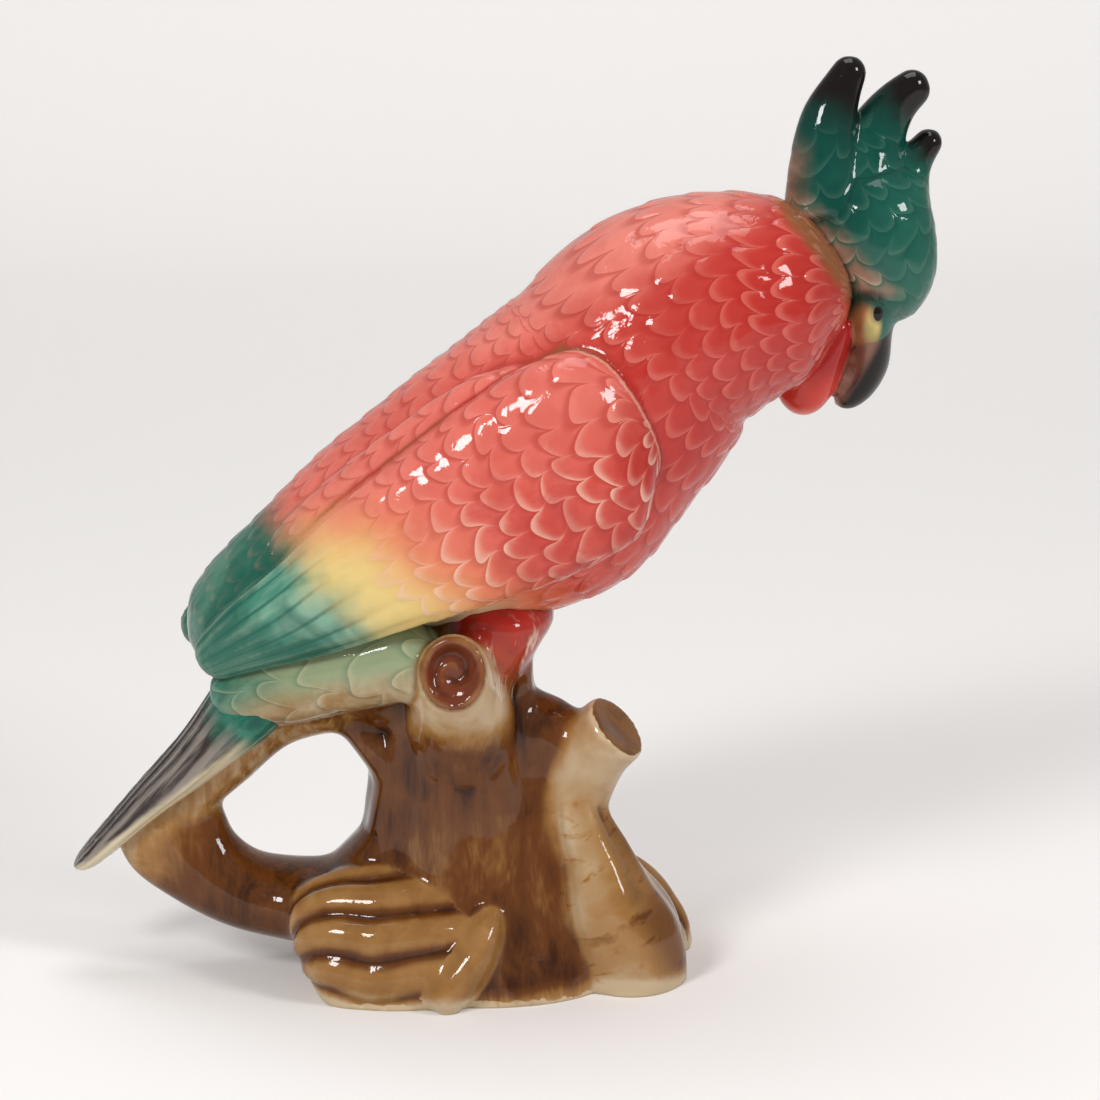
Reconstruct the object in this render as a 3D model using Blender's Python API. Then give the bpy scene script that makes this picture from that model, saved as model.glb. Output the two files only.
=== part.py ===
"""Parrot figurine: a crested parrot leaning forward on a tree stump, cast in one piece.

The piece is a thin-walled ceramic casting. Each swelling of the bird and of the stump is a
body of rounded sections along its own axis; the bodies are fused into one skin, cut flat at
the foot, and hollowed from inside with a drain hole through the foot.
Units are metres, +Z is up, the bird looks towards +X and its near side is -Y.
"""
import math

import bmesh
import bpy
import numpy as np

# ---- driving dimensions (metres, degrees) ----
TRUNK_HEIGHT = 0.143
TRUNK_HALF_WIDTH = 0.036
TRUNK_HALF_DEPTH = 0.052
TRUNK_SUNK = 0.008

BODY_LENGTH = 0.2403
BODY_HALF_WIDTH = 0.041
BODY_HALF_DEPTH = 0.0477
BODY_LEAN = 29.5

WING_LENGTH = 0.166
WING_HALF_WIDTH = 0.014
WING_HALF_DEPTH = 0.0314
WING_SPLAY = 6.0

SHOULDER_LENGTH = 0.108
SHOULDER_HALF_WIDTH = 0.009
SHOULDER_HALF_DEPTH = 0.0147

TAIL_LENGTH = 0.1026
TAIL_HALF_WIDTH = 0.024
TAIL_HALF_DEPTH = 0.0192
TAIL_LEAN = 42.5

HEAD_HEIGHT = 0.0544
HEAD_HALF_WIDTH = 0.020
HEAD_HALF_DEPTH = 0.0211
BEAK_LENGTH = 0.0331
BEAK_HALF_WIDTH = 0.009
BEAK_HALF_DEPTH = 0.007
BILL_HALF_WIDTH = 0.0068
BILL_HALF_DEPTH = 0.0036
THROAT_HALF_WIDTH = 0.012
THROAT_HALF_DEPTH = 0.0109
CHEEK_HALF_WIDTH = 0.0125
CHEEK_HALF_DEPTH = 0.0082
EYE_RADIUS = 0.0017
PLUME_HALF_WIDTH = 0.013
PLUME_HALF_DEPTH = 0.0131
TALL_PLUME = 0.0507
MIDDLE_PLUME = 0.0416
SHORT_PLUME = 0.0261

STUB_LENGTH = 0.063
STUB_HALF_WIDTH = 0.020
STUB_HALF_DEPTH = 0.022
CROTCH_HALF_WIDTH = 0.014
CROTCH_HALF_DEPTH = 0.012
KNOT_LENGTH = 0.043
KNOT_HALF_WIDTH = 0.015
KNOT_HALF_DEPTH = 0.014
THIGH_HALF_WIDTH = 0.028
THIGH_HALF_DEPTH = 0.0185
BRIDGE_HALF_WIDTH = 0.016
BRIDGE_HALF_DEPTH = 0.0115
PROP_HALF_WIDTH = 0.024
PROP_HALF_DEPTH = 0.0205
WEB_HALF_WIDTH = 0.016
WEB_HALF_DEPTH = 0.0072
COVERT_HALF_WIDTH = 0.012
COVERT_HALF_DEPTH = 0.013
MOUND_LENGTH = 0.060
MOUND_HALF_WIDTH = 0.023
MOUND_HALF_DEPTH = 0.029
ROOT_HALF_WIDTH = 0.027
ROOT_HALF_DEPTH = 0.030
TOE_HALF_WIDTH = 0.010
TOE_HALF_DEPTH = 0.0075
BACK_ROOT_LENGTH = 0.119
BACK_ROOT_HALF_WIDTH = 0.022
BACK_ROOT_HALF_DEPTH = 0.034

FEATHER_PITCH = 0.0105
FEATHER_RELIEF = 0.0021
WING_FEATHER_PITCH = 0.0098
COVERT_PITCH = 0.015
BARK_RELIEF = 0.0011
FOLD_RELIEF = 0.0034

WALL = 0.0045
DRAIN_RADIUS = 0.008
PASSAGE_RADIUS = 0.008
SKIN_GRAIN = 0.0011
SKIN_TRIANGLES = 11500
HOLLOW_TRIANGLES = 800


class Frame:
    """Axis of one body: a start point, a direction, a length and the two cross directions."""

    def __init__(self, start, length=None, lean=0.0, turn=0.0, end=None):
        self.start = np.asarray(start, float)
        if end is not None:
            reach = np.asarray(end, float) - self.start
            length = float(np.linalg.norm(reach))
            self.along = reach / length
            turn = 0.0
        else:
            tilt = math.radians(lean)
            swing = math.radians(turn)
            self.along = np.array([
                math.cos(tilt) * math.cos(swing), math.cos(tilt) * math.sin(swing), math.sin(tilt)])
        self.length = length
        swing = math.radians(turn)
        flat = np.array([-math.sin(swing), math.cos(swing), 0.0])
        flat = flat - (flat @ self.along) * self.along
        self.side = flat / np.linalg.norm(flat)
        self.rise = np.cross(self.along, self.side)

    def at(self, along, rise=0.0, side=0.0):
        """Point given as shares of the body's length."""
        step = along * self.along + rise * self.rise + side * self.side
        return self.start + self.length * step


def smooth_path(rows, count):
    """Rows carried through smoothly, sampled at even steps along the path."""
    rows = np.asarray(rows, float)
    gap = np.linalg.norm(np.diff(rows[:, :3], axis=0), axis=1)
    knot = np.concatenate([[0.0], np.cumsum(gap)])
    slope = np.gradient(rows, knot, axis=0)
    at = np.linspace(0.0, knot[-1], count)
    i = np.clip(np.searchsorted(knot, at, side="right") - 1, 0, len(knot) - 2)
    span = (knot[i + 1] - knot[i])[:, None]
    u = (at[:, None] - knot[i][:, None]) / span
    start = rows[i] * (1 + 2 * u) * (1 - u) ** 2 + slope[i] * span * u * (1 - u) ** 2
    close = rows[i + 1] * u * u * (3 - 2 * u) + slope[i + 1] * span * u * u * (u - 1)
    return start + close, at


def unit(vectors):
    size = np.linalg.norm(vectors, axis=-1, keepdims=True)
    return vectors / np.maximum(size, 1e-9)


class Body:
    """Rounded sections along a frame: rows are (along, rise, side, width, upper, lower) shares."""

    def __init__(self, frame, half_width, half_depth, rows, ends=(0.004, 0.004), power=2.0,
                 relief=None, face=None, hollow=False):
        self.frame = frame
        self.half_width = half_width
        self.half_depth = half_depth
        self.rows = rows
        self.ends = ends
        self.power = power
        self.relief = relief
        self.face = face
        self.hollow = hollow

    def real_rows(self, inset):
        table = []
        for along, rise, side, width, upper, lower in self.rows:
            point = self.frame.at(along, rise, side)
            table.append([*point, width * self.half_width - inset, upper * self.half_depth - inset,
                          lower * self.half_depth - inset])
        return np.array(table)

    def skin(self, step, inset=0.0):
        """Closed grid of points and its faces; inset pulls the whole surface inwards."""
        rows = self.real_rows(inset)
        total = np.linalg.norm(np.diff(rows[:, :3], axis=0), axis=1).sum()
        count = max(8, int(total / step))
        path, s = smooth_path(rows, count)
        if inset > 0.0:
            keep = (s > inset) & (s < s[-1] - inset)
            keep &= path[:, 3:].min(axis=1) > 0.6 * inset
            if keep.sum() < 4:
                return None
            path = path[keep]
            s = s[keep] - s[keep][0]
        end = s[-1]
        head, toe = self.ends
        first = np.clip((s + 1e-6) / head, 0.0, 1.0)
        blunt = 0.0 if self.face is None else 0.7
        last = np.clip(blunt + (end - s + 1e-6) / toe, 0.0, 1.0)
        fade = np.sqrt(np.clip(1 - (1 - first) ** 2, 0, 1)) * np.sqrt(np.clip(1 - (1 - last) ** 2, 0, 1))
        tangent = unit(np.gradient(path[:, :3], s, axis=0))
        side = self.frame.side[None, :]
        side = unit(side - (tangent @ self.frame.side)[:, None] * tangent)
        rise = np.cross(tangent, side)
        around = max(24, int(2 * math.pi * max(path[:, 3:].max(), 0.002) / step))
        t = np.arange(around) * 2 * math.pi / around
        power = 2.0 / self.power
        across = np.sign(np.cos(t)) * np.abs(np.cos(t)) ** power
        height = np.sign(np.sin(t)) * np.abs(np.sin(t)) ** power
        depth = np.where(np.sin(t)[None, :] > 0, path[:, 4:5], path[:, 5:6])
        grid = (path[:, None, :3]
                + (fade[:, None] * path[:, 3:4] * across[None, :])[..., None] * side[:, None, :]
                + (fade[:, None] * depth * height[None, :])[..., None] * rise[:, None, :])
        if self.relief is not None and inset == 0.0:
            grid = grid + self.relief_step(grid, s, t, fade)
        rings = [grid[k] for k in range(len(grid))]
        if self.face is not None and inset == 0.0:
            middle = grid[-1].mean(axis=0)
            for share in np.linspace(0.95, 0.12, 12):
                lift = self.face(share, t)[:, None] * tangent[-1][None, :]
                rings.append(middle + share * (grid[-1] - middle) + lift)
            pole = middle + self.face(0.0, t[:1]) * tangent[-1]
        else:
            pole = grid[-1].mean(axis=0)
        return close_rings(rings, grid[0].mean(axis=0), pole)

    def relief_step(self, grid, s, t, fade):
        along = np.gradient(grid, axis=0)
        loop = np.concatenate([grid[:, -1:], grid, grid[:, :1]], axis=1)
        around = (loop[:, 2:] - loop[:, :-2]) * 0.5
        normal = unit(np.cross(around, along))
        middle = grid.mean(axis=1, keepdims=True)
        facing = np.sign(((grid - middle) * normal).sum(axis=-1, keepdims=True))
        normal = normal * facing
        edge = np.linalg.norm(np.roll(grid, -1, axis=1) - grid, axis=-1)
        length = np.cumsum(edge, axis=1) - edge
        share = length / np.maximum(edge.sum(axis=1, keepdims=True), 1e-9)
        lift = self.relief(s[:, None] + 0 * share, share, s[-1])
        return normal * (lift * fade[:, None] ** 2)[..., None]


def close_rings(rings, first, last):
    count = len(rings)
    around = len(rings[0])
    points = np.concatenate([np.concatenate(rings), first[None, :], last[None, :]])
    faces = []
    for k in range(count - 1):
        a = k * around
        b = a + around
        faces.extend([(a + j, a + (j + 1) % around, b + (j + 1) % around, b + j) for j in range(around)])
    pole = count * around
    top = (count - 1) * around
    faces.extend([(pole, (j + 1) % around, j) for j in range(around)])
    faces.extend([(pole + 1, top + j, top + (j + 1) % around) for j in range(around)])
    return points, faces


def plumage(height, marks, columns, lap=0.8):
    """Overlapping rounded feathers: marks pairs distance from the front with feather row."""
    def lift(s, share, total):
        far = total - s
        u = np.interp(far, [m[0] for m in marks], [m[1] for m in marks])
        v = share * columns
        row = np.floor(u)
        part = u - row
        own = np.mod(v + 0.5 * np.mod(row, 2), 1.0) - 0.5
        other = np.mod(v + 0.5 * np.mod(row + 1, 2), 1.0) - 0.5
        own_arc = np.sqrt(np.clip(1 - (2 * own) ** 2, 0, 1))
        other_arc = np.sqrt(np.clip(1 - (2 * other) ** 2, 0, 1))
        over = part < lap * other_arc
        rest = np.where(over, lap * other_arc - part, 1 + lap * own_arc - part)
        bulge = np.where(over, other_arc, own_arc)
        return height * (np.clip(1.0 - rest / 1.5, 0.0, 1.0) + 0.35 * bulge - 0.9)
    return lift


def even_marks(length, pitch):
    return [(0.0, 0.0), (length, length / pitch)]


def long_grooves(height, count):
    """Long vanes running along the body, each with one sharp edge."""
    def lift(s, share, total):
        v = share * count + 0.6 * s / total
        part = v - np.floor(v)
        return height * (part - 0.5)
    return lift


def bark(height, count):
    """Soft upright ridges with a slow sway."""
    def lift(s, share, total):
        turn = 2 * math.pi * share
        sway = 0.9 * np.sin(2 * math.pi * s / total)
        return height * (np.cos(count * turn + sway) + 0.5 * np.cos((count - 2) * turn - 1.5 * sway))
    return lift


def folds(height, count, sweep):
    """Rounded rolls lying along the body, sagging and then lifting towards its far end."""
    def lift(s, share, total):
        run = np.clip(s / total, 0.0, 1.0)
        v = share * count + sweep * run ** 3 - 0.7 * run
        return height * (np.abs(np.sin(math.pi * v)) ** 0.8 - 0.7)
    return lift


def cut_face(share, t):
    """Sawn end of the stub: a shallow dish inside a low rim."""
    return 0.0005 * math.sin(math.pi * share) * np.ones_like(t) - 0.0012 * (1 - share ** 2)


def knot_face(share, t):
    """Healed knot: a raised rim round a sunk face with one spiral groove."""
    rim = 0.0022 * math.exp(-((share - 0.84) / 0.13) ** 2)
    coil = 0.0012 * np.cos(t - 2 * math.pi * 1.5 * share) * (1 if share < 0.66 else 0)
    return rim - 0.0030 * (1 - share ** 3) + coil


def build_bodies():
    """Every body, each started from a point on the body that carries it."""
    trunk = Frame((0.0, 0.0, -TRUNK_SUNK), TRUNK_HEIGHT, lean=89.2)
    torso = Frame(trunk.at(0.79, 0.65), BODY_LENGTH, BODY_LEAN)
    near_wing = Frame(torso.at(0.011, 0.0, -0.079), WING_LENGTH, BODY_LEAN, -WING_SPLAY)
    far_wing = Frame(torso.at(-0.023, 0.012, 0.079), WING_LENGTH * 1.035, BODY_LEAN - 1.3, WING_SPLAY)
    near_shoulder = Frame(torso.at(0.17, 0.08, -0.075), SHOULDER_LENGTH, BODY_LEAN + 2.6, -8.0)
    far_shoulder = Frame(torso.at(0.17, 0.055, 0.075), SHOULDER_LENGTH, BODY_LEAN + 2.6, 8.0)
    tail = Frame(torso.at(-0.301, -0.175), TAIL_LENGTH, TAIL_LEAN)
    head = Frame(torso.at(1.04, -0.076, 0.05), HEAD_HEIGHT, 108.8, 6.6)
    tall = Frame(head.at(0.75, 0.241, -0.046), TALL_PLUME, 80.1, 10.0)
    middle = Frame(head.at(0.811, 0.008, 0.03), MIDDLE_PLUME, 60.9, 5.7)
    short = Frame(head.at(0.653, -0.190, 0.042), SHORT_PLUME, 63.6, 4.9)
    beak = Frame(head.at(-0.35, 0.535, 0.042), BEAK_LENGTH, 67.1, -13.5)
    bill = Frame(head.at(-0.30, 0.53, 0.02), end=head.at(0.02, 0.27, 0.02))
    throat = Frame(head.at(-0.30, 0.80, 0.02), end=head.at(0.17, 0.33, 0.02))
    cheek = Frame(head.at(-0.08, 0.27, 0.01), end=head.at(0.26, 0.12, 0.01))
    eyes = Frame(head.at(0.145, 0.165, -0.245), end=head.at(0.145, 0.165, 0.245))
    stub = Frame(trunk.at(0.308, -0.052, 0.014), STUB_LENGTH, 50.9, -20.6)
    knot = Frame(trunk.at(0.630, 0.049, -0.047), KNOT_LENGTH, 42.0, -93.9)
    mound = Frame(trunk.at(0.106, 0.40, -0.122), MOUND_LENGTH, -4.8, 1.6)
    root = Frame(trunk.at(0.548, -0.198, -0.07), end=trunk.at(0.005, -0.360, -0.07))
    toe = Frame(trunk.at(0.275, -0.035, -0.205), end=trunk.at(0.052, 0.110, -0.275))
    back_root = Frame(trunk.at(0.051, 0.35, 0.14), BACK_ROOT_LENGTH, -1.0, -1.9)
    thigh = Frame(trunk.at(0.62, -0.01), end=torso.at(0.42, -0.12))
    bridge = Frame(tail.at(0.36, -0.10), end=trunk.at(0.714, 0.124))
    prop = Frame(tail.at(0.31, -0.035), end=trunk.at(0.201, 0.19))
    crotch = Frame(trunk.at(0.66, -0.02), end=stub.at(0.76, 0.07))
    upper_web = Frame(trunk.at(0.695, 0.330), end=trunk.at(0.500, 0.185))
    lower_web = Frame(trunk.at(0.450, 0.185), end=trunk.at(0.255, 0.345))
    near_coverts = Frame(torso.at(-0.005, -0.048, -0.052), end=torso.at(0.30, -0.128, -0.106))
    far_coverts = Frame(torso.at(-0.005, -0.048, 0.052), end=torso.at(0.30, -0.128, 0.106))

    covert_part = 0.55 * WING_LENGTH
    rows_of_coverts = covert_part / WING_FEATHER_PITCH
    wing_marks = [(0.0, 0.0), (covert_part, rows_of_coverts), (WING_LENGTH, rows_of_coverts + 2.2)]
    body_feathers = plumage(FEATHER_RELIEF, even_marks(BODY_LENGTH, FEATHER_PITCH), 24)
    wing_feathers = plumage(FEATHER_RELIEF, wing_marks, 12)
    shoulder_feathers = plumage(FEATHER_RELIEF, even_marks(SHOULDER_LENGTH, FEATHER_PITCH), 6)
    head_feathers = plumage(0.5 * FEATHER_RELIEF, even_marks(HEAD_HEIGHT, 0.0085), 11)
    covert_feathers = plumage(0.6 * FEATHER_RELIEF, even_marks(near_coverts.length, COVERT_PITCH), 5)

    wing_rows = [
        (0.00, 0.00, 0.00, 0.29, 0.20, 0.20), (0.12, 0.01, 0.00, 0.50, 0.37, 0.37),
        (0.27, 0.01, 0.00, 0.71, 0.55, 0.55), (0.43, 0.02, 0.00, 0.86, 0.73, 0.73),
        (0.59, 0.02, 0.00, 0.93, 0.88, 0.88), (0.75, 0.02, 0.00, 1.00, 1.00, 1.00),
        (0.90, 0.02, 0.00, 1.00, 0.98, 0.98), (1.00, 0.00, 0.00, 0.79, 0.71, 0.71)]
    wing_bow = [0.0, 0.025, 0.042, 0.057, 0.060, 0.052, 0.033, 0.0]
    near_rows = [(a, r, -b, w, u, d) for (a, r, z, w, u, d), b in zip(wing_rows, wing_bow)]
    far_rows = [(a, r, b, w, u, d) for (a, r, z, w, u, d), b in zip(wing_rows, wing_bow)]
    shoulder_rows = [
        (0.00, 0.00, 0.00, 0.56, 0.38, 0.43), (0.27, 0.02, 0.02, 0.89, 0.68, 0.78),
        (0.53, 0.03, 0.03, 1.00, 0.84, 0.96), (0.80, 0.03, 0.02, 1.00, 0.90, 1.00),
        (1.00, 0.00, 0.00, 0.89, 0.66, 0.70)]
    near_shoulder_rows = [(a, r, -b, w, u, d) for a, r, b, w, u, d in shoulder_rows]
    covert_rows = [
        (0.00, 0.00, 0.00, 0.55, 0.55, 0.60), (0.25, 0.01, 0.00, 0.90, 0.90, 1.05),
        (0.60, 0.01, 0.00, 1.00, 1.00, 1.10), (1.00, 0.00, 0.00, 0.90, 1.00, 1.10)]
    upper_web_rows = [
        (0.00, 0.00, 0.00, 0.70, 0.90, 0.90), (0.50, 0.02, 0.00, 1.00, 1.00, 0.90),
        (1.00, 0.00, 0.00, 0.90, 0.90, 0.90)]
    lower_web_rows = [
        (0.00, 0.00, 0.00, 0.90, 0.90, 0.90), (0.50, 0.04, 0.00, 1.05, 1.10, 0.90),
        (1.00, 0.00, 0.00, 0.90, 0.90, 0.90)]

    bodies = [
        Body(torso, BODY_HALF_WIDTH, BODY_HALF_DEPTH, [
            (0.00, 0.00, 0.00, 0.37, 0.26, 0.20), (0.07, 0.01, 0.00, 0.54, 0.41, 0.38),
            (0.18, 0.02, 0.00, 0.68, 0.54, 0.55), (0.29, 0.02, 0.00, 0.80, 0.71, 0.70),
            (0.41, 0.01, 0.00, 0.88, 0.87, 0.87), (0.54, 0.01, 0.00, 0.95, 0.95, 1.00),
            (0.66, 0.03, 0.00, 1.00, 0.95, 0.83), (0.76, 0.07, 0.00, 1.00, 0.87, 0.79),
            (0.86, 0.06, 0.00, 0.90, 0.77, 0.69), (0.94, 0.03, 0.00, 0.71, 0.60, 0.56),
            (1.00, 0.00, 0.00, 0.44, 0.34, 0.34)],
            ends=(0.014, 0.020), relief=body_feathers, hollow=True),
        Body(near_wing, WING_HALF_WIDTH, WING_HALF_DEPTH, near_rows,
             ends=(0.006, 0.017), power=2.3, relief=wing_feathers, hollow=True),
        Body(far_wing, WING_HALF_WIDTH, WING_HALF_DEPTH, far_rows,
             ends=(0.006, 0.017), power=2.3, relief=wing_feathers, hollow=True),
        Body(near_shoulder, SHOULDER_HALF_WIDTH, SHOULDER_HALF_DEPTH, near_shoulder_rows,
             ends=(0.008, 0.014), relief=shoulder_feathers),
        Body(far_shoulder, SHOULDER_HALF_WIDTH, SHOULDER_HALF_DEPTH, shoulder_rows,
             ends=(0.008, 0.014), relief=shoulder_feathers),
        Body(near_coverts, COVERT_HALF_WIDTH, COVERT_HALF_DEPTH, covert_rows,
             ends=(0.008, 0.010), relief=covert_feathers),
        Body(far_coverts, COVERT_HALF_WIDTH, COVERT_HALF_DEPTH, covert_rows,
             ends=(0.008, 0.010), relief=covert_feathers),
        Body(tail, TAIL_HALF_WIDTH, TAIL_HALF_DEPTH, [
            (0.00, 0.00, 0.00, 0.25, 0.10, 0.21), (0.13, 0.00, 0.00, 0.46, 0.18, 0.25),
            (0.35, 0.00, 0.00, 0.67, 0.33, 0.29), (0.56, -0.01, 0.00, 0.83, 0.52, 0.36),
            (0.78, -0.01, 0.00, 0.96, 0.79, 0.46), (1.00, 0.00, 0.00, 1.00, 1.00, 0.52)],
            ends=(0.008, 0.006), relief=long_grooves(0.8 * FEATHER_RELIEF, 14)),
        Body(head, HEAD_HALF_WIDTH, HEAD_HALF_DEPTH, [
            (0.00, 0.00, 0.00, 0.50, 0.33, 0.33), (0.21, 0.00, 0.01, 0.85, 0.65, 0.65),
            (0.47, -0.01, 0.02, 1.00, 0.85, 0.85), (0.73, 0.02, 0.01, 0.90, 1.00, 1.00),
            (1.00, 0.00, 0.00, 0.60, 0.85, 0.85)],
            ends=(0.010, 0.014), relief=head_feathers, hollow=True),
        Body(tall, PLUME_HALF_WIDTH, PLUME_HALF_DEPTH, [
            (0.00, 0.00, 0.00, 1.00, 1.15, 0.98), (0.30, 0.10, 0.00, 0.77, 0.80, 0.80),
            (0.61, 0.11, 0.00, 0.62, 0.67, 0.67), (0.85, 0.05, 0.01, 0.46, 0.46, 0.46),
            (1.00, 0.00, 0.00, 0.38, 0.36, 0.36)], ends=(0.004, 0.005)),
        Body(middle, PLUME_HALF_WIDTH, PLUME_HALF_DEPTH, [
            (0.00, 0.00, 0.00, 1.00, 1.00, 1.10), (0.36, 0.13, 0.01, 0.69, 0.69, 0.88),
            (0.68, 0.13, 0.01, 0.50, 0.46, 0.68), (1.00, 0.00, 0.00, 0.42, 0.36, 0.46)],
            ends=(0.004, 0.005)),
        Body(short, PLUME_HALF_WIDTH, PLUME_HALF_DEPTH, [
            (0.00, 0.00, 0.00, 0.85, 0.73, 0.73), (0.50, 0.08, 0.02, 0.54, 0.46, 0.46),
            (1.00, 0.00, 0.00, 0.38, 0.29, 0.29)], ends=(0.004, 0.004)),
        Body(beak, BEAK_HALF_WIDTH, BEAK_HALF_DEPTH, [
            (0.00, 0.00, 0.00, 0.50, 0.50, 0.50), (0.24, -0.12, 0.02, 0.80, 0.80, 0.74),
            (0.48, -0.15, 0.03, 1.00, 0.80, 0.80), (0.80, -0.06, 0.03, 1.05, 0.84, 0.80),
            (1.00, 0.00, 0.00, 1.00, 0.86, 0.86)], ends=(0.005, 0.004)),
        Body(bill, BILL_HALF_WIDTH, BILL_HALF_DEPTH, [
            (0.00, 0.00, 0.00, 0.60, 0.70, 0.70), (0.40, -0.05, 0.00, 1.00, 1.00, 1.00),
            (1.00, 0.00, 0.00, 0.90, 0.80, 0.80)], ends=(0.004, 0.004)),
        Body(throat, THROAT_HALF_WIDTH, THROAT_HALF_DEPTH, [
            (0.00, 0.00, 0.00, 0.62, 0.62, 0.50), (0.28, -0.02, -0.02, 0.90, 0.92, 0.74),
            (0.60, -0.03, -0.02, 1.00, 0.84, 0.62), (1.00, 0.00, 0.00, 0.90, 0.64, 0.48)],
            ends=(0.006, 0.004)),
        Body(cheek, CHEEK_HALF_WIDTH, CHEEK_HALF_DEPTH, [
            (0.00, 0.00, 0.00, 0.80, 0.85, 0.85), (0.50, 0.00, 0.00, 1.00, 1.00, 1.00),
            (1.00, 0.00, 0.00, 1.00, 1.00, 1.00)], ends=(0.006, 0.006)),
        Body(eyes, EYE_RADIUS, 1.5 * EYE_RADIUS, [
            (0.00, 0.00, 0.00, 1.00, 1.00, 1.00), (0.50, 0.00, 0.00, 1.00, 1.00, 1.00),
            (1.00, 0.00, 0.00, 1.00, 1.00, 1.00)], ends=(0.002, 0.002)),
        Body(trunk, TRUNK_HALF_WIDTH, TRUNK_HALF_DEPTH, [
            (0.00, 0.00, 0.00, 1.12, 1.00, 1.00), (0.14, 0.02, 0.00, 1.02, 0.90, 0.90),
            (0.27, 0.02, 0.00, 0.84, 0.76, 0.79), (0.42, 0.05, 0.00, 0.72, 0.63, 0.69),
            (0.58, 0.06, 0.00, 0.69, 0.52, 0.58), (0.72, 0.06, 0.00, 0.64, 0.44, 0.48),
            (0.86, 0.04, 0.00, 0.58, 0.42, 0.42), (1.00, 0.00, 0.00, 0.53, 0.38, 0.38)],
            ends=(0.003, 0.003), relief=bark(BARK_RELIEF, 9), hollow=True),
        Body(stub, STUB_HALF_WIDTH, STUB_HALF_DEPTH, [
            (0.00, 0.00, 0.00, 1.00, 1.00, 1.00), (0.46, -0.01, 0.02, 0.70, 0.66, 0.66),
            (0.88, 0.036, 0.00, 0.62, 0.56, 0.54), (1.00, 0.018, 0.00, 0.61, 0.55, 0.53)],
            ends=(0.003, 0.0012), face=cut_face),
        Body(knot, KNOT_HALF_WIDTH, KNOT_HALF_DEPTH, [
            (0.00, 0.00, 0.00, 1.30, 1.10, 1.70), (0.30, 0.02, 0.00, 1.14, 1.02, 1.30),
            (0.62, 0.03, -0.01, 0.93, 0.94, 1.00), (0.93, 0.04, 0.00, 0.77, 0.88, 0.88),
            (1.00, 0.00, 0.00, 0.72, 0.88, 0.88)],
            ends=(0.003, 0.0012), face=knot_face),
        Body(mound, MOUND_HALF_WIDTH, MOUND_HALF_DEPTH, [
            (0.00, 0.00, 0.00, 0.52, 0.48, 0.42), (0.12, 0.07, -0.03, 0.84, 0.83, 0.76),
            (0.34, 0.08, -0.04, 1.00, 1.00, 1.00), (0.63, 0.08, -0.05, 1.00, 0.97, 0.97),
            (0.85, 0.04, -0.02, 0.87, 0.76, 0.76), (1.00, 0.00, 0.00, 0.52, 0.41, 0.41)],
            ends=(0.008, 0.008), relief=folds(FOLD_RELIEF, 9, 2.5), hollow=True),
        Body(root, ROOT_HALF_WIDTH, ROOT_HALF_DEPTH, [
            (0.00, 0.00, 0.00, 0.28, 0.22, 0.22), (0.21, -0.03, 0.00, 0.45, 0.33, 0.33),
            (0.38, -0.01, 0.00, 0.62, 0.44, 0.44), (0.55, 0.00, 0.00, 0.80, 0.57, 0.57),
            (0.73, 0.02, 0.02, 0.86, 0.68, 0.66), (0.89, 0.00, 0.04, 0.82, 0.64, 0.64),
            (1.00, -0.03, 0.06, 0.72, 0.55, 0.60)],
            ends=(0.014, 0.003), relief=bark(0.6 * BARK_RELIEF, 7), hollow=True),
        Body(toe, TOE_HALF_WIDTH, TOE_HALF_DEPTH, [
            (0.00, 0.00, 0.00, 0.45, 0.45, 0.45), (0.45, 0.05, -0.06, 0.85, 0.90, 0.90),
            (1.00, 0.00, 0.00, 1.00, 1.00, 1.00)], ends=(0.008, 0.006)),
        Body(back_root, BACK_ROOT_HALF_WIDTH, BACK_ROOT_HALF_DEPTH, [
            (0.00, 0.00, 0.00, 0.73, 0.59, 0.59), (0.25, 0.02, 0.04, 0.91, 0.88, 0.88),
            (0.57, 0.06, 0.05, 1.00, 0.98, 1.00), (0.79, 0.05, 0.04, 0.91, 0.78, 0.84),
            (0.93, 0.01, 0.02, 0.76, 0.46, 0.74), (1.00, 0.00, 0.00, 0.55, 0.30, 0.60)],
            ends=(0.010, 0.008), relief=folds(0.7 * FOLD_RELIEF, 9, 2.0), hollow=True),
        Body(thigh, THIGH_HALF_WIDTH, THIGH_HALF_DEPTH, [
            (0.00, 0.00, 0.00, 0.50, 0.30, 0.30), (0.30, 0.03, 0.00, 0.71, 0.43, 0.38),
            (0.60, 0.03, 0.00, 0.92, 1.00, 0.66), (1.00, 0.00, 0.00, 1.00, 1.35, 1.00)],
            ends=(0.004, 0.010), hollow=True),
        Body(bridge, BRIDGE_HALF_WIDTH, BRIDGE_HALF_DEPTH, [
            (0.00, 0.00, 0.00, 0.56, 0.60, 0.47), (0.25, 0.09, 0.00, 0.76, 0.95, 0.72),
            (0.49, 0.16, 0.00, 0.86, 1.10, 0.85), (0.69, 0.13, 0.00, 0.98, 1.60, 0.92),
            (0.86, 0.07, 0.00, 1.10, 2.00, 0.98), (1.00, 0.00, 0.00, 1.12, 2.20, 1.05)],
            ends=(0.006, 0.006)),
        Body(prop, PROP_HALF_WIDTH, PROP_HALF_DEPTH, [
            (0.00, 0.04, 0.00, 0.34, 0.80, 0.80), (0.12, -0.05, 0.00, 0.42, 0.90, 0.90),
            (0.26, -0.12, 0.00, 0.54, 0.73, 0.73), (0.42, -0.15, 0.00, 0.66, 0.64, 0.64),
            (0.61, -0.12, 0.00, 0.80, 0.64, 0.64), (0.80, -0.06, 0.00, 0.94, 0.70, 0.72),
            (1.00, 0.00, 0.00, 1.00, 0.90, 0.90)], ends=(0.003, 0.006), hollow=True),
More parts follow.
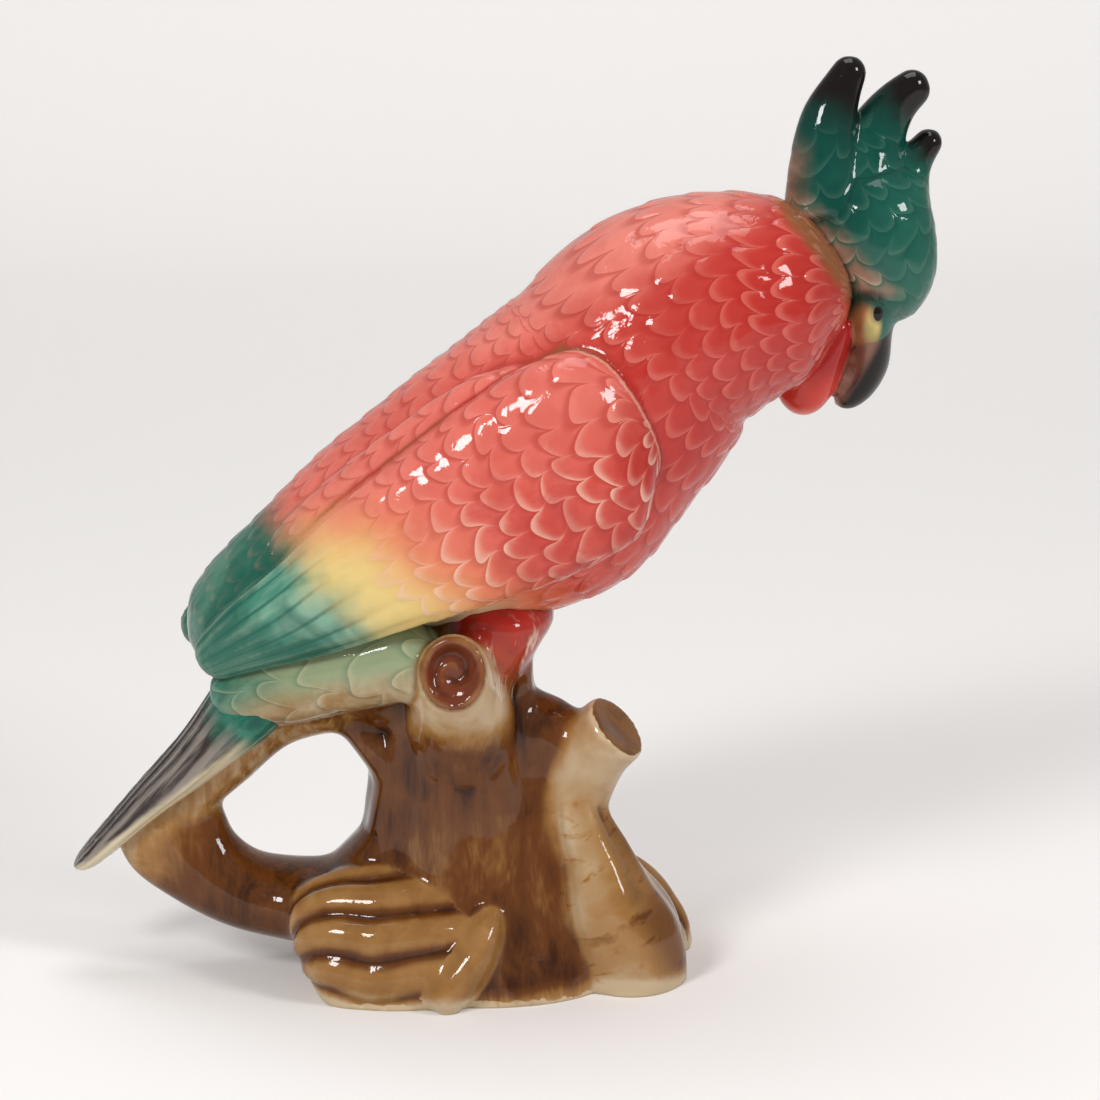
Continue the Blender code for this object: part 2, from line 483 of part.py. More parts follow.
        Body(upper_web, WEB_HALF_WIDTH, WEB_HALF_DEPTH, upper_web_rows, ends=(0.006, 0.006)),
        Body(lower_web, WEB_HALF_WIDTH, WEB_HALF_DEPTH, lower_web_rows, ends=(0.006, 0.006)),
        Body(crotch, CROTCH_HALF_WIDTH, CROTCH_HALF_DEPTH, [
            (0.00, 0.00, 0.00, 1.00, 0.72, 1.00), (0.50, 0.05, 0.00, 0.82, 1.00, 1.40),
            (1.00, 0.00, 0.00, 0.78, 0.76, 1.00)]),
    ]
    gullet = Frame(torso.at(0.90, 0.03), end=head.at(0.52))
    passage = Body(gullet, PASSAGE_RADIUS, PASSAGE_RADIUS, [
        (0.00, 0.00, 0.00, 1.00, 1.00, 1.00), (0.50, 0.00, 0.00, 1.00, 1.00, 1.00),
        (1.00, 0.00, 0.00, 1.00, 1.00, 1.00)])
    return bodies, passage, trunk


def mesh_object(name, skins):
    """One mesh object holding several closed skins."""
    points = []
    faces = []
    offset = 0
    for skin in skins:
        points.append(skin[0])
        faces.extend([tuple(i + offset for i in face) for face in skin[1]])
        offset += len(skin[0])
    mesh = bpy.data.meshes.new(name)
    mesh.from_pydata(np.concatenate(points).tolist(), [], faces)
    mesh.update()
    thing = bpy.data.objects.new(name, mesh)
    bpy.context.scene.collection.objects.link(thing)
    return thing


def settle(thing):
    """Turn the object's modifiers into plain geometry."""
    graph = bpy.context.evaluated_depsgraph_get()
    mesh = bpy.data.meshes.new_from_object(thing.evaluated_get(graph))
    old = thing.data
    thing.modifiers.clear()
    thing.data = mesh
    bpy.data.meshes.remove(old)
    return thing


def fuse(thing, grain):
    remesh = thing.modifiers.new("fuse", "REMESH")
    remesh.mode = "VOXEL"
    remesh.voxel_size = grain
    remesh.adaptivity = 0.0
    return settle(thing)


def relax(thing, weight_of, rounds, inward=1.0):
    """Round the creases where weight_of asks for it; inward below 1 keeps the ridges."""
    mesh = thing.data
    count = len(mesh.vertices)
    place = np.empty(count * 3)
    mesh.vertices.foreach_get("co", place)
    place = place.reshape(-1, 3)
    ends = np.empty(len(mesh.edges) * 2, dtype=np.int32)
    mesh.edges.foreach_get("vertices", ends)
    a = np.concatenate([ends[0::2], ends[1::2]])
    b = np.concatenate([ends[1::2], ends[0::2]])
    degree = np.maximum(np.bincount(a, minlength=count), 1)[:, None]
    weight = weight_of(place)[:, None]
    normal = np.empty(count * 3)
    for turn in range(rounds):
        if turn % 3 == 0:
            mesh.vertices.foreach_set("co", place.ravel())
            mesh.update()
            mesh.vertex_normals.foreach_get("vector", normal)
        total = np.stack([np.bincount(a, weights=place[b, k], minlength=count) for k in range(3)], axis=1)
        step = total / degree - place
        outward = (step * normal.reshape(-1, 3)).sum(axis=1, keepdims=True)
        place = place + weight * np.where(outward > 0.0, 1.0, inward) * step
    mesh.vertices.foreach_set("co", place.ravel())
    mesh.update()


def thin_out(thing, triangles):
    mesh = thing.data
    now = sum(len(face.vertices) - 2 for face in mesh.polygons)
    fewer = thing.modifiers.new("fewer", "DECIMATE")
    fewer.decimate_type = "COLLAPSE"
    fewer.ratio = min(1.0, triangles / now)
    fewer.use_collapse_triangulate = True
    return settle(thing)


def cut_level(thing, height):
    """Remove everything below a level and close the cut with a flat face."""
    work = bmesh.new()
    work.from_mesh(thing.data)
    geometry = work.verts[:] + work.edges[:] + work.faces[:]
    cut = bmesh.ops.bisect_plane(
        work, geom=geometry, dist=0.00002, plane_co=(0.0, 0.0, height), plane_no=(0.0, 0.0, 1.0),
        clear_inner=True, clear_outer=False)
    edges = [item for item in cut["geom_cut"] if isinstance(item, bmesh.types.BMEdge)]
    for vertex in {vertex for edge in edges for vertex in edge.verts}:
        vertex.co.z = height
    bmesh.ops.triangle_fill(work, edges=edges, use_beauty=True, use_dissolve=False)
    bmesh.ops.remove_doubles(work, verts=work.verts[:], dist=0.00005)
    bmesh.ops.dissolve_degenerate(work, edges=work.edges[:], dist=0.00003)
    bmesh.ops.triangulate(work, faces=work.faces[:])
    bmesh.ops.recalc_face_normals(work, faces=work.faces[:])
    work.to_mesh(thing.data)
    work.free()


def subtract(thing, cutter):
    cutter.hide_render = True
    cutter.display_type = "WIRE"
    cut = thing.modifiers.new("hollow", "BOOLEAN")
    cut.operation = "DIFFERENCE"
    cut.solver = "EXACT"
    cut.object = cutter
    settle(thing)
    bpy.data.objects.remove(cutter, do_unlink=True)


def drain_pin(centre):
    """Round pin that opens the hollow through the foot."""
    sides = 28
    turn = np.arange(sides) * 2 * math.pi / sides
    ring = centre[:2] + DRAIN_RADIUS * np.stack([np.cos(turn), np.sin(turn)], axis=1)
    low = np.column_stack([ring, np.full(sides, -2 * WALL)])
    high = np.column_stack([ring, np.full(sides, 2.5 * WALL)])
    faces = [(j, (j + 1) % sides, sides + (j + 1) % sides, sides + j) for j in range(sides)]
    faces.append(tuple(range(sides - 1, -1, -1)))
    faces.append(tuple(range(sides, 2 * sides)))
    return mesh_object("drain_pin", [(np.concatenate([low, high]), faces)])


def crease_weight(place):
    """The stump and its joints are rounded; the feathered skin is left sharp."""
    stump = np.clip((0.100 - place[:, 2]) / 0.02, 0.0, 1.0)
    tail = np.clip((place[:, 2] - 0.055 + 0.9 * (-0.070 - place[:, 0])) / 0.01, 0.0, 1.0)
    tail = tail * (place[:, 0] < -0.045)
    return 0.6 * stump * (1.0 - tail)


def seat(thing):
    """Put the middle of the footprint's box at the origin, foot on the floor."""
    mesh = thing.data
    place = np.empty(len(mesh.vertices) * 3)
    mesh.vertices.foreach_get("co", place)
    place = place.reshape(-1, 3)
    low = place.min(axis=0)
    high = place.max(axis=0)
    place -= np.array([(low[0] + high[0]) / 2, (low[1] + high[1]) / 2, low[2]])
    mesh.vertices.foreach_set("co", place.ravel())
    mesh.update()


def ceramic():
    material = bpy.data.materials.new("glazed_ceramic")
    material.use_nodes = True
    shader = material.node_tree.nodes["Principled BSDF"]
    shader.inputs["Base Color"].default_value = (0.72, 0.20, 0.14, 1.0)
    shader.inputs["Roughness"].default_value = 0.08
    shader.inputs["Metallic"].default_value = 0.0
    shader.inputs["IOR"].default_value = 1.5
    return material


def main():
    for thing in list(bpy.data.objects):
        bpy.data.objects.remove(thing, do_unlink=True)
    bodies, passage, trunk = build_bodies()

    figurine = mesh_object("parrot_figurine", [body.skin(SKIN_GRAIN * 0.8) for body in bodies])
    fuse(figurine, SKIN_GRAIN)
    relax(figurine, crease_weight, 18, inward=0.25)
    thin_out(figurine, SKIN_TRIANGLES)
    cut_level(figurine, 0.0)

    inner = [body.skin(SKIN_GRAIN * 2, inset=WALL) for body in bodies if body.hollow]
    inner.append(passage.skin(SKIN_GRAIN * 2))
    hollow = mesh_object("hollow", [skin for skin in inner if skin is not None])
    fuse(hollow, SKIN_GRAIN * 2)
    relax(hollow, lambda place: np.full(len(place), 0.5), 4)
    thin_out(hollow, HOLLOW_TRIANGLES)
    cut_level(hollow, WALL)
    subtract(figurine, hollow)
    subtract(figurine, drain_pin(trunk.at(0.05)))

    seat(figurine)
    figurine.data.materials.clear()
    figurine.data.materials.append(ceramic())


main()
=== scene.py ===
"""Glazed parrot figurine on its stump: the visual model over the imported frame.

Every form is a body of rounded sections along its own axis. The bodies of one piece are fused
into one skin, the creases are rounded as glaze rounds them, and the feathers, bark and folds
are then raised along the normals as functions of the place along and around each body.
"""
import math

import bmesh
import bpy
import numpy as np
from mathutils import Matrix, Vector
from bpy.props import FloatProperty, FloatVectorProperty, PointerProperty


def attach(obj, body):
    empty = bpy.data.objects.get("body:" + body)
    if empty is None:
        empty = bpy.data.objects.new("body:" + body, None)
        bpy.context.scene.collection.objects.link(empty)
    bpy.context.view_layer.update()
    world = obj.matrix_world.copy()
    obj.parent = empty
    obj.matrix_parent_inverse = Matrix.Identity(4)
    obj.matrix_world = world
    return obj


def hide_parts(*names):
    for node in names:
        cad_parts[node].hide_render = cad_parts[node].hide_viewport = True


bl_info = {
    "name": "Parrot figurine",
    "version": (1, 0, 0),
    "blender": (4, 5, 0),
    "location": "View3D > Sidebar > Figurine",
    "description": "Glazed ceramic parrot on a stump, fitted to its packed frame",
    "category": "Add Mesh",
}

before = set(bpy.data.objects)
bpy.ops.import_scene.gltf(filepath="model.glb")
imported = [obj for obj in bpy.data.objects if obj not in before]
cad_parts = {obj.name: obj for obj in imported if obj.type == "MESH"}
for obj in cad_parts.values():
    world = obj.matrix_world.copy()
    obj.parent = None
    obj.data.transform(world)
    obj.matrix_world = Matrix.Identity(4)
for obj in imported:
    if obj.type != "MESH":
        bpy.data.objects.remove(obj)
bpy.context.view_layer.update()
NODE = "parrot_figurine"
# The seat of the frame: its origin is the middle of the footprint's box.
SEAT = np.array([-0.00648, -0.00048, 0.0])


def metres(name, text, default):
    return FloatProperty(name=name, description=text, default=default, min=0.0, precision=4,
                         unit="LENGTH")


def colour(name, text, default):
    return FloatVectorProperty(name=name, description=text, default=default, size=3, min=0.0, max=1.0,
                               subtype="COLOR")


class FIGURINE_PG_bird(bpy.types.PropertyGroup):
    body_length: metres("Body length", "From the rump to the neck", 0.2403)
    body_width: metres("Body half width", "Half the body's width", 0.041)
    body_depth: metres("Body half depth", "Half the body's depth", 0.0477)
    wing_length: metres("Wing length", "From the shoulder to the tip", 0.166)
    wing_width: metres("Wing half thickness", "Half the wing's thickness", 0.014)
    wing_depth: metres("Wing half depth", "Half the wing's depth", 0.0314)
    shoulder_length: metres("Shoulder length", "Length of the feather layer over the wing", 0.108)
    shoulder_width: metres("Shoulder half width", "Half that layer's thickness", 0.009)
    shoulder_depth: metres("Shoulder half depth", "Half that layer's depth", 0.0147)
    tail_length: metres("Tail length", "From the rump to the tail tip", 0.1026)
    tail_width: metres("Tail half width", "Half the tail's width", 0.024)
    tail_depth: metres("Tail half depth", "Half the tail's depth", 0.0192)
    thigh_width: metres("Thigh half width", "Half the width of the thighs", 0.028)
    thigh_depth: metres("Thigh half depth", "Half the depth of the thighs", 0.0185)


class FIGURINE_PG_head(bpy.types.PropertyGroup):
    head_height: metres("Head height", "From the chin to the crown", 0.0544)
    head_width: metres("Head half width", "Half the head's width", 0.020)
    head_depth: metres("Head half depth", "Half the head's depth", 0.0211)
    beak_length: metres("Beak length", "Length of the beak", 0.0331)
    beak_width: metres("Beak half width", "Half the beak's width", 0.009)
    beak_depth: metres("Beak half depth", "Half the beak's depth", 0.007)
    throat_width: metres("Throat half width", "Half the throat's width", 0.012)
    throat_depth: metres("Throat half depth", "Half the throat's depth", 0.0109)
    bill_width: metres("Bill half width", "Half the lower bill's width", 0.0068)
    bill_depth: metres("Bill half depth", "Half the lower bill's depth", 0.0036)
    cheek_width: metres("Cheek half width", "Half the width of the cheeks below the eyes", 0.0125)
    cheek_depth: metres("Cheek half depth", "Half their depth", 0.0082)
    eye_radius: metres("Eye radius", "Half width of each upright oval eye", 0.0017)
    tall_plume: metres("Tall plume", "Length of the rear plume", 0.0507)
    middle_plume: metres("Middle plume", "Length of the middle plume", 0.0416)
    short_plume: metres("Short plume", "Length of the front plume", 0.0261)
    plume_width: metres("Plume half width", "Half a plume's width at its root", 0.013)
    plume_depth: metres("Plume half depth", "Half a plume's depth at its root", 0.0131)


class FIGURINE_PG_stump(bpy.types.PropertyGroup):
    trunk_height: metres("Trunk height", "Height of the trunk's axis", 0.143)
    trunk_width: metres("Trunk half width", "Half the trunk's width at the ground", 0.036)
    trunk_depth: metres("Trunk half depth", "Half the trunk's depth at the ground", 0.052)
    sunk: metres("Sunk", "How far the axis starts below the ground", 0.008)
    stub_length: metres("Stub length", "Length of the sawn branch", 0.063)
    stub_width: metres("Stub half width", "Half the stub's width at its root", 0.020)
    stub_depth: metres("Stub half depth", "Half the stub's depth at its root", 0.022)
    knot_length: metres("Knot length", "Length of the knot's bulge", 0.0430)
    knot_width: metres("Knot half width", "Half the knot's width", 0.015)
    knot_depth: metres("Knot half depth", "Half the knot's depth", 0.014)
    mound_length: metres("Mound length", "Length of the folded root", 0.0600)
    mound_width: metres("Mound half width", "Half the folded root's width", 0.023)
    mound_depth: metres("Mound half depth", "Half the folded root's depth", 0.029)
    root_width: metres("Root half width", "Half the width of the root below the stub", 0.027)
    root_depth: metres("Root half depth", "Half its depth", 0.030)
    back_length: metres("Back root length", "Length of the root on the far side", 0.119)
    back_width: metres("Back root half width", "Half its width", 0.022)
    back_depth: metres("Back root half depth", "Half its depth", 0.034)
    prop_width: metres("Prop half width", "Half the width of the root under the tail", 0.024)
    prop_depth: metres("Prop half depth", "Half its depth", 0.0205)
    bridge_width: metres("Bridge half width", "Half the width of the branch along the tail", 0.016)
    bridge_depth: metres("Bridge half depth", "Half its depth", 0.0115)
    web_width: metres("Web half width", "Half the width of the webs at the loop's corners", 0.016)
    web_depth: metres("Web half depth", "Half their depth", 0.0072)
    toe_width: metres("Toe half width", "Half the width of the small root by the foot", 0.0100)
    toe_depth: metres("Toe half depth", "Half its depth", 0.0075)
    covert_width: metres("Covert half width", "Half the thickness of the coverts under a wing", 0.012)
    covert_depth: metres("Covert half depth", "Half their depth", 0.0130)
    crotch_width: metres("Crotch half width", "Half the width of the web beside the stub", 0.014)
    crotch_depth: metres("Crotch half depth", "Half its depth", 0.012)


class FIGURINE_PG_carving(bpy.types.PropertyGroup):
    feather_pitch: metres("Feather pitch", "Length of a body feather that shows", 0.0092)
    feather_height: metres("Feather height", "Height of a feather's edge", 0.0013)
    head_pitch: metres("Head feather pitch", "Length of a head feather that shows", 0.0078)
    wing_pitch: metres("Wing feather pitch", "Length of a wing covert that shows", 0.0086)
    covert_pitch: metres("Covert pitch", "Length of a covert below the wing that shows", 0.0150)
    bark_height: metres("Bark height", "Height of the bark's ridges", 0.0009)
    fold_height: metres("Fold height", "Depth of the folds in the roots", 0.0034)
    body_grain: metres("Body grain", "Edge length of the body's skin", 0.00107)
    head_grain: metres("Head grain", "Edge length of the head's skin", 0.0007)
    tail_grain: metres("Tail grain", "Edge length of the tail's skin", 0.0007)
    stump_grain: metres("Stump grain", "Edge length of the stump's skin", 0.00105)


class Axis:
    """Axis of a body: start + length * (along * A + rise * N + side * B)."""

    def __init__(self, start, length=None, lean=0.0, turn=0.0, end=None):
        self.start = np.asarray(start, float)
        if end is not None:
            reach = np.asarray(end, float) - self.start
            length = float(np.linalg.norm(reach))
            self.along = reach / length
            turn = 0.0
        else:
            tilt, swing = math.radians(lean), math.radians(turn)
            self.along = np.array([
                math.cos(tilt) * math.cos(swing), math.cos(tilt) * math.sin(swing), math.sin(tilt)])
        self.length = length
        swing = math.radians(turn)
        flat = np.array([-math.sin(swing), math.cos(swing), 0.0])
        flat = flat - (flat @ self.along) * self.along
        self.side = flat / np.linalg.norm(flat)
        self.rise = np.cross(self.along, self.side)

    def at(self, along, rise=0.0, side=0.0):
        step = along * self.along + rise * self.rise + side * self.side
        return self.start + self.length * step


class Form:
    """A loft: rows of (along, rise, side, width, upper, lower) shares of its axis and half sizes."""

    def __init__(self, axis, width, depth, rows, ends=(0.004, 0.004), power=2.0, relief=None,
                 face=None):
        self.axis, self.width, self.depth, self.rows = axis, width, depth, rows
        self.ends, self.power, self.relief, self.face = ends, power, relief, face


def unit(vectors):
    return vectors / np.maximum(np.linalg.norm(vectors, axis=-1, keepdims=True), 1e-12)


def carried_rows(rows, count):
    """Cubic through the rows: p(u) = p0 h00(u) + m0 h10(u) + p1 h01(u) + m1 h11(u), with the
    slopes m taken from the neighbouring rows by distance along the path."""
    gap = np.linalg.norm(np.diff(rows[:, :3], axis=0), axis=1)
    knot = np.concatenate([[0.0], np.cumsum(gap)])
    slope = np.gradient(rows, knot, axis=0)
    at = np.linspace(0.0, knot[-1], count)
    i = np.clip(np.searchsorted(knot, at, side="right") - 1, 0, len(knot) - 2)
    span = (knot[i + 1] - knot[i])[:, None]
    u = (at[:, None] - knot[i][:, None]) / span
    start = rows[i] * (1 + 2 * u) * (1 - u) ** 2 + slope[i] * span * u * (1 - u) ** 2
    close = rows[i + 1] * u * u * (3 - 2 * u) + slope[i + 1] * span * u * u * (u - 1)
    return start + close, at


def loft(form, step):
    """Closed skin of one form. A point is
    path(s) + f(s) * (a(s) * cos(t)^p * B + b(s) * sin(t)^p * N), where p rounds the section and
    f(s) = sqrt(1 - (1 - s / end)^2) rounds each end. Returns points, triangles and, for each
    point, its length share with the cosine and sine of its share around."""
    axis = form.axis
    rows = np.array([[*(axis.at(r[0], r[1], r[2]) + SEAT), r[3] * form.width, r[4] * form.depth,
                      r[5] * form.depth] for r in form.rows])
    total = np.linalg.norm(np.diff(rows[:, :3], axis=0), axis=1).sum()
    path, s = carried_rows(rows, max(10, int(total / step)))
    first = np.clip((s + 1e-6) / form.ends[0], 0.0, 1.0)
    blunt = 0.0 if form.face is None else 0.7
    last = np.clip(blunt + (s[-1] - s + 1e-6) / form.ends[1], 0.0, 1.0)
    fade = np.sqrt(1 - (1 - first) ** 2) * np.sqrt(1 - (1 - last) ** 2)
    tangent = unit(np.gradient(path[:, :3], s, axis=0))
    side = unit(axis.side[None, :] - (tangent @ axis.side)[:, None] * tangent)
    rise = np.cross(tangent, side)
    around = max(28, int(2 * math.pi * path[:, 3:].max() / step))
    t = np.arange(around) * 2 * math.pi / around
    power = 2.0 / form.power
    across = np.sign(np.cos(t)) * np.abs(np.cos(t)) ** power
    height = np.sign(np.sin(t)) * np.abs(np.sin(t)) ** power
    depth = np.where(np.sin(t)[None, :] > 0, path[:, 4:5], path[:, 5:6])
    grid = (path[:, None, :3]
            + (fade[:, None] * path[:, 3:4] * across[None, :])[..., None] * side[:, None, :]
            + (fade[:, None] * depth * height[None, :])[..., None] * rise[:, None, :])
    edge = np.linalg.norm(np.roll(grid, -1, axis=1) - grid, axis=-1)
    share = (np.cumsum(edge, axis=1) - edge) / np.maximum(edge.sum(axis=1, keepdims=True), 1e-9)
    along = np.broadcast_to((s / s[-1])[:, None], share.shape)
    if form.face is not None:
        middle = grid[-1].mean(axis=0)
        inner = np.linspace(0.96, 0.06, 16)
        lift = np.stack([form.face(q, t) for q in inner])[..., None] * tangent[-1]
        rings = middle + inner[:, None, None] * (grid[-1] - middle)[None] + lift
        grid = np.concatenate([grid, rings])
        share = np.concatenate([share, np.repeat(share[-1:], len(inner), axis=0)])
        along = np.concatenate([along, np.repeat(1.0 + (1.0 - inner)[:, None], around, axis=1)])
        pole = middle + form.face(0.0, t[:1])[:, None] * tangent[-1]
    else:
        pole = grid[-1].mean(axis=0)[None]
    points = np.concatenate([grid.reshape(-1, 3), grid[0].mean(axis=0)[None], pole])
    turn = 2 * math.pi * share
    run = np.stack([along, np.cos(turn), np.sin(turn)], axis=-1).reshape(-1, 3)
    run = np.concatenate([run, [[0.0, 0.0, 0.0], [along.max(), 0.0, 0.0]]])
    return points, tube_faces(len(grid), around), run, total


def tube_faces(rings, around):
    """Triangles of a tube of rings closed by two poles, all facing outwards."""
    j = np.arange(around)
    k = (j + 1) % around
    base = (np.arange(rings - 1) * around)[:, None]
    a, b, c, d = base + j, base + k, base + k + around, base + j + around
    wall = np.concatenate([np.stack([a, b, c], axis=-1).reshape(-1, 3),
                           np.stack([a, c, d], axis=-1).reshape(-1, 3)])
    low = np.stack([np.full(around, rings * around), k, j], axis=-1)
    top = (rings - 1) * around
    high = np.stack([np.full(around, rings * around + 1), top + j, top + k], axis=-1)
    return np.concatenate([wall, low, high])


# How far a feather reaches over the next row, in rows.
LAP = 0.66


def feathers(height, marks, columns, vanes_from=None):
    """Overlapping rounded feathers. With u rows from the front and v columns around, both swayed
    by slow sines, the feathers of row k end where u = k + LAP * sqrt(1 - (2c)^2), c being the
    place across one. The height rises towards that edge and bulges across it. Rows past
    vanes_from flatten into long vanes with a groove where v is whole. Gives the height with u, v
    and the share of feathers."""
    def lift(s, share, total):
        far = total - s
        u = np.interp(far, [m[0] for m in marks], [m[1] for m in marks])
        turn = 2 * math.pi * share
        v = share * columns + 0.20 * np.sin(1.9 * u + 2 * turn) + 0.08 * np.sin(4.3 * u - turn)
        u = u + 0.20 * np.sin(3 * turn + 0.7 * u) + 0.07 * np.sin(7 * turn - 1.3 * u) + 10.0
        row = np.floor(u)
        part = u - row

        def end_of(this_row):
            across = np.mod(v + 0.5 * np.mod(this_row, 2), 1.0) - 0.5
            return np.sqrt(np.clip(1 - (2 * across) ** 2, 0, 1))

        other, own = end_of(row + 1), end_of(row)
        over = part < LAP * other
        rest = np.where(over, LAP * other - part, 1 + LAP * own - part)
        rise = 0.75 * np.clip(1.0 - rest / 1.5, 0.0, 1.0) + 0.5 * np.where(over, other, own) - 0.8
        covered = np.ones_like(rise)
        if vanes_from is not None:
            covered = 1.0 - np.clip((far - vanes_from) / 0.012, 0.0, 1.0)
            groove = 1.0 - np.abs(2.0 * np.mod(v, 1.0) - 1.0)
            rise = rise * covered + (1.0 - covered) * (0.9 * np.minimum(groove / 0.35, 1.0) - 0.75)
        return height * rise, u, v, covered
    return lift


def vanes(height, count):
    """Long vanes: height = h * (frac(v) - 0.5) with v = count * share + 0.6 * s, a sharp edge each."""
    def lift(s, share, total):
        v = share * count + 0.6 * s / total
        return height * (v - np.floor(v) - 0.5), 100.0 * s, v, 0.0 * s
    return lift


def bark(height, count):
    """Soft upright ridges: h * (cos(n * turn + sway) + cos((n - 2) * turn - sway) / 2)."""
    def lift(s, share, total):
        turn = 2 * math.pi * share
        sway = 0.9 * np.sin(2 * math.pi * s / total)
        wave = np.cos(count * turn + sway) + 0.5 * np.cos((count - 2) * turn - 1.5 * sway)
        return height * wave, 100.0 * s, share, 0.0 * s
    return lift


def folds(height, count, sweep):
    """Rounded rolls along the body: h * (|sin(pi * v)|^0.8 - 0.7) with
    v = n * share + sweep * s^3 - 0.7 * s, so that they sag and then lift at the far end."""
    def lift(s, share, total):
        run = np.clip(s / total, 0, 1)
        v = share * count + sweep * run ** 3 - 0.7 * run
        return height * (np.abs(np.sin(math.pi * v)) ** 0.8 - 0.7), 100.0 * s, v, 0.0 * s
    return lift


def plain(s, share, total):
    """No relief, only the place along (in centimetres) and around."""
    return 0.0 * s, 100.0 * s, share, 0.0 * s


def cut_face(share, t):
    """Sawn end: a shallow dish, 1.2 mm * (1 - q^2) deep, with a low ring."""
    return 0.0005 * math.sin(math.pi * share) * np.ones_like(t) - 0.0012 * (1 - share ** 2)


def knot_face(share, t):
    """Healed knot: a rim at 0.84 of the radius round a sunk face with one spiral groove."""
    rim = 0.0022 * math.exp(-((share - 0.84) / 0.13) ** 2)
    coil = 0.0016 * np.cos(t - 2 * math.pi * 1.5 * share)
    shown = min(1.0, share / 0.3) if share < 0.66 else 0
    return rim - 0.0030 * (1 - share ** 3) + coil * shown


def raw_object(name, points, faces):
    mesh = bpy.data.meshes.new(name)
    mesh.from_pydata(points.tolist(), [], faces.tolist())
    mesh.update()
    thing = bpy.data.objects.new(name, mesh)
    bpy.context.scene.collection.objects.link(thing)
    return thing


def put_values(mesh, name, values):
    """Store one number or one vector per point under a name that the materials read."""
    kind, field = ("FLOAT_VECTOR", "vector") if values.ndim == 2 else ("FLOAT", "value")
    layer = mesh.attributes.get(name) or mesh.attributes.new(name, kind, "POINT")
    layer.data.foreach_set(field, np.ascontiguousarray(values, dtype=np.float32).ravel())


def get_values(mesh, name, width=1):
    values = np.empty(len(mesh.vertices) * width, dtype=np.float32)
    mesh.attributes[name].data.foreach_get("vector" if width == 3 else "value", values)
    return values.reshape(-1, 3) if width == 3 else values


def settle(thing):
    """Turn an object's modifiers into plain geometry."""
    graph = bpy.context.evaluated_depsgraph_get()
    mesh = bpy.data.meshes.new_from_object(thing.evaluated_get(graph))
    old = thing.data
    thing.modifiers.clear()
    thing.data = mesh
    bpy.data.meshes.remove(old)
    return mesh


def joined_lofts(name, forms, step):
    """One object with the lofts of all forms, marked with form number and run."""
    points, faces, runs, kinds, totals, offset = [], [], [], [], [], 0
    for number, form in enumerate(forms.values()):
        p, f, run, total = loft(form, step)
        points.append(p)
        faces.append(f + offset)
        runs.append(run)
        kinds.append(np.full(len(p), float(number)))
        totals.append(total)
        offset += len(p)
    thing = raw_object(name, np.concatenate(points), np.concatenate(faces))
    put_values(thing.data, "run", np.concatenate(runs))
    put_values(thing.data, "form", np.concatenate(kinds))
    return thing, totals


def carry_marks(skin, source):
    """Give each point of the skin the run and form number of the nearest point of the lofts."""
    tree = bpy.data.node_groups.new("carry_marks", "GeometryNodeTree")
    tree.interface.new_socket("Geometry", in_out="INPUT", socket_type="NodeSocketGeometry")
    tree.interface.new_socket("Geometry", in_out="OUTPUT", socket_type="NodeSocketGeometry")
    nodes, links = tree.nodes, tree.links
    flow = nodes.new("NodeGroupInput").outputs[0]
    info = nodes.new("GeometryNodeObjectInfo")
    info.inputs["Object"].default_value = source
    for name, kind in (("run", "FLOAT_VECTOR"), ("form", "FLOAT")):
        read = nodes.new("GeometryNodeInputNamedAttribute")
        read.data_type = kind
        read.inputs["Name"].default_value = name
        near = nodes.new("GeometryNodeSampleNearestSurface")
        near.data_type = kind
        links.new(info.outputs["Geometry"], near.inputs["Mesh"])
        links.new(read.outputs["Attribute"], near.inputs["Value"])
        store = nodes.new("GeometryNodeStoreNamedAttribute")
        store.data_type = kind
        store.domain = "POINT"
        store.inputs["Name"].default_value = name
        links.new(flow, store.inputs["Geometry"])
        links.new(near.outputs["Value"], store.inputs["Value"])
        flow = store.outputs["Geometry"]
    links.new(flow, nodes.new("NodeGroupOutput").inputs[0])
    step = skin.modifiers.new("marks", "NODES")
    step.node_group = tree
    settle(skin)
    bpy.data.node_groups.remove(tree)


def cut_at_ground(thing):
    """Slice the skin at the ground and close it with one flat face."""
    work = bmesh.new()
    work.from_mesh(thing.data)
    parts = work.verts[:] + work.edges[:] + work.faces[:]
    cut = bmesh.ops.bisect_plane(work, geom=parts, dist=0.00002, plane_co=(0, 0, 0), plane_no=(0, 0, 1),
                                 clear_inner=True)
    rim = [item for item in cut["geom_cut"] if isinstance(item, bmesh.types.BMEdge)]
    bmesh.ops.triangle_fill(work, edges=rim, use_beauty=True, normal=(0, 0, -1))
    bmesh.ops.recalc_face_normals(work, faces=work.faces[:])
    work.to_mesh(thing.data)
    work.free()


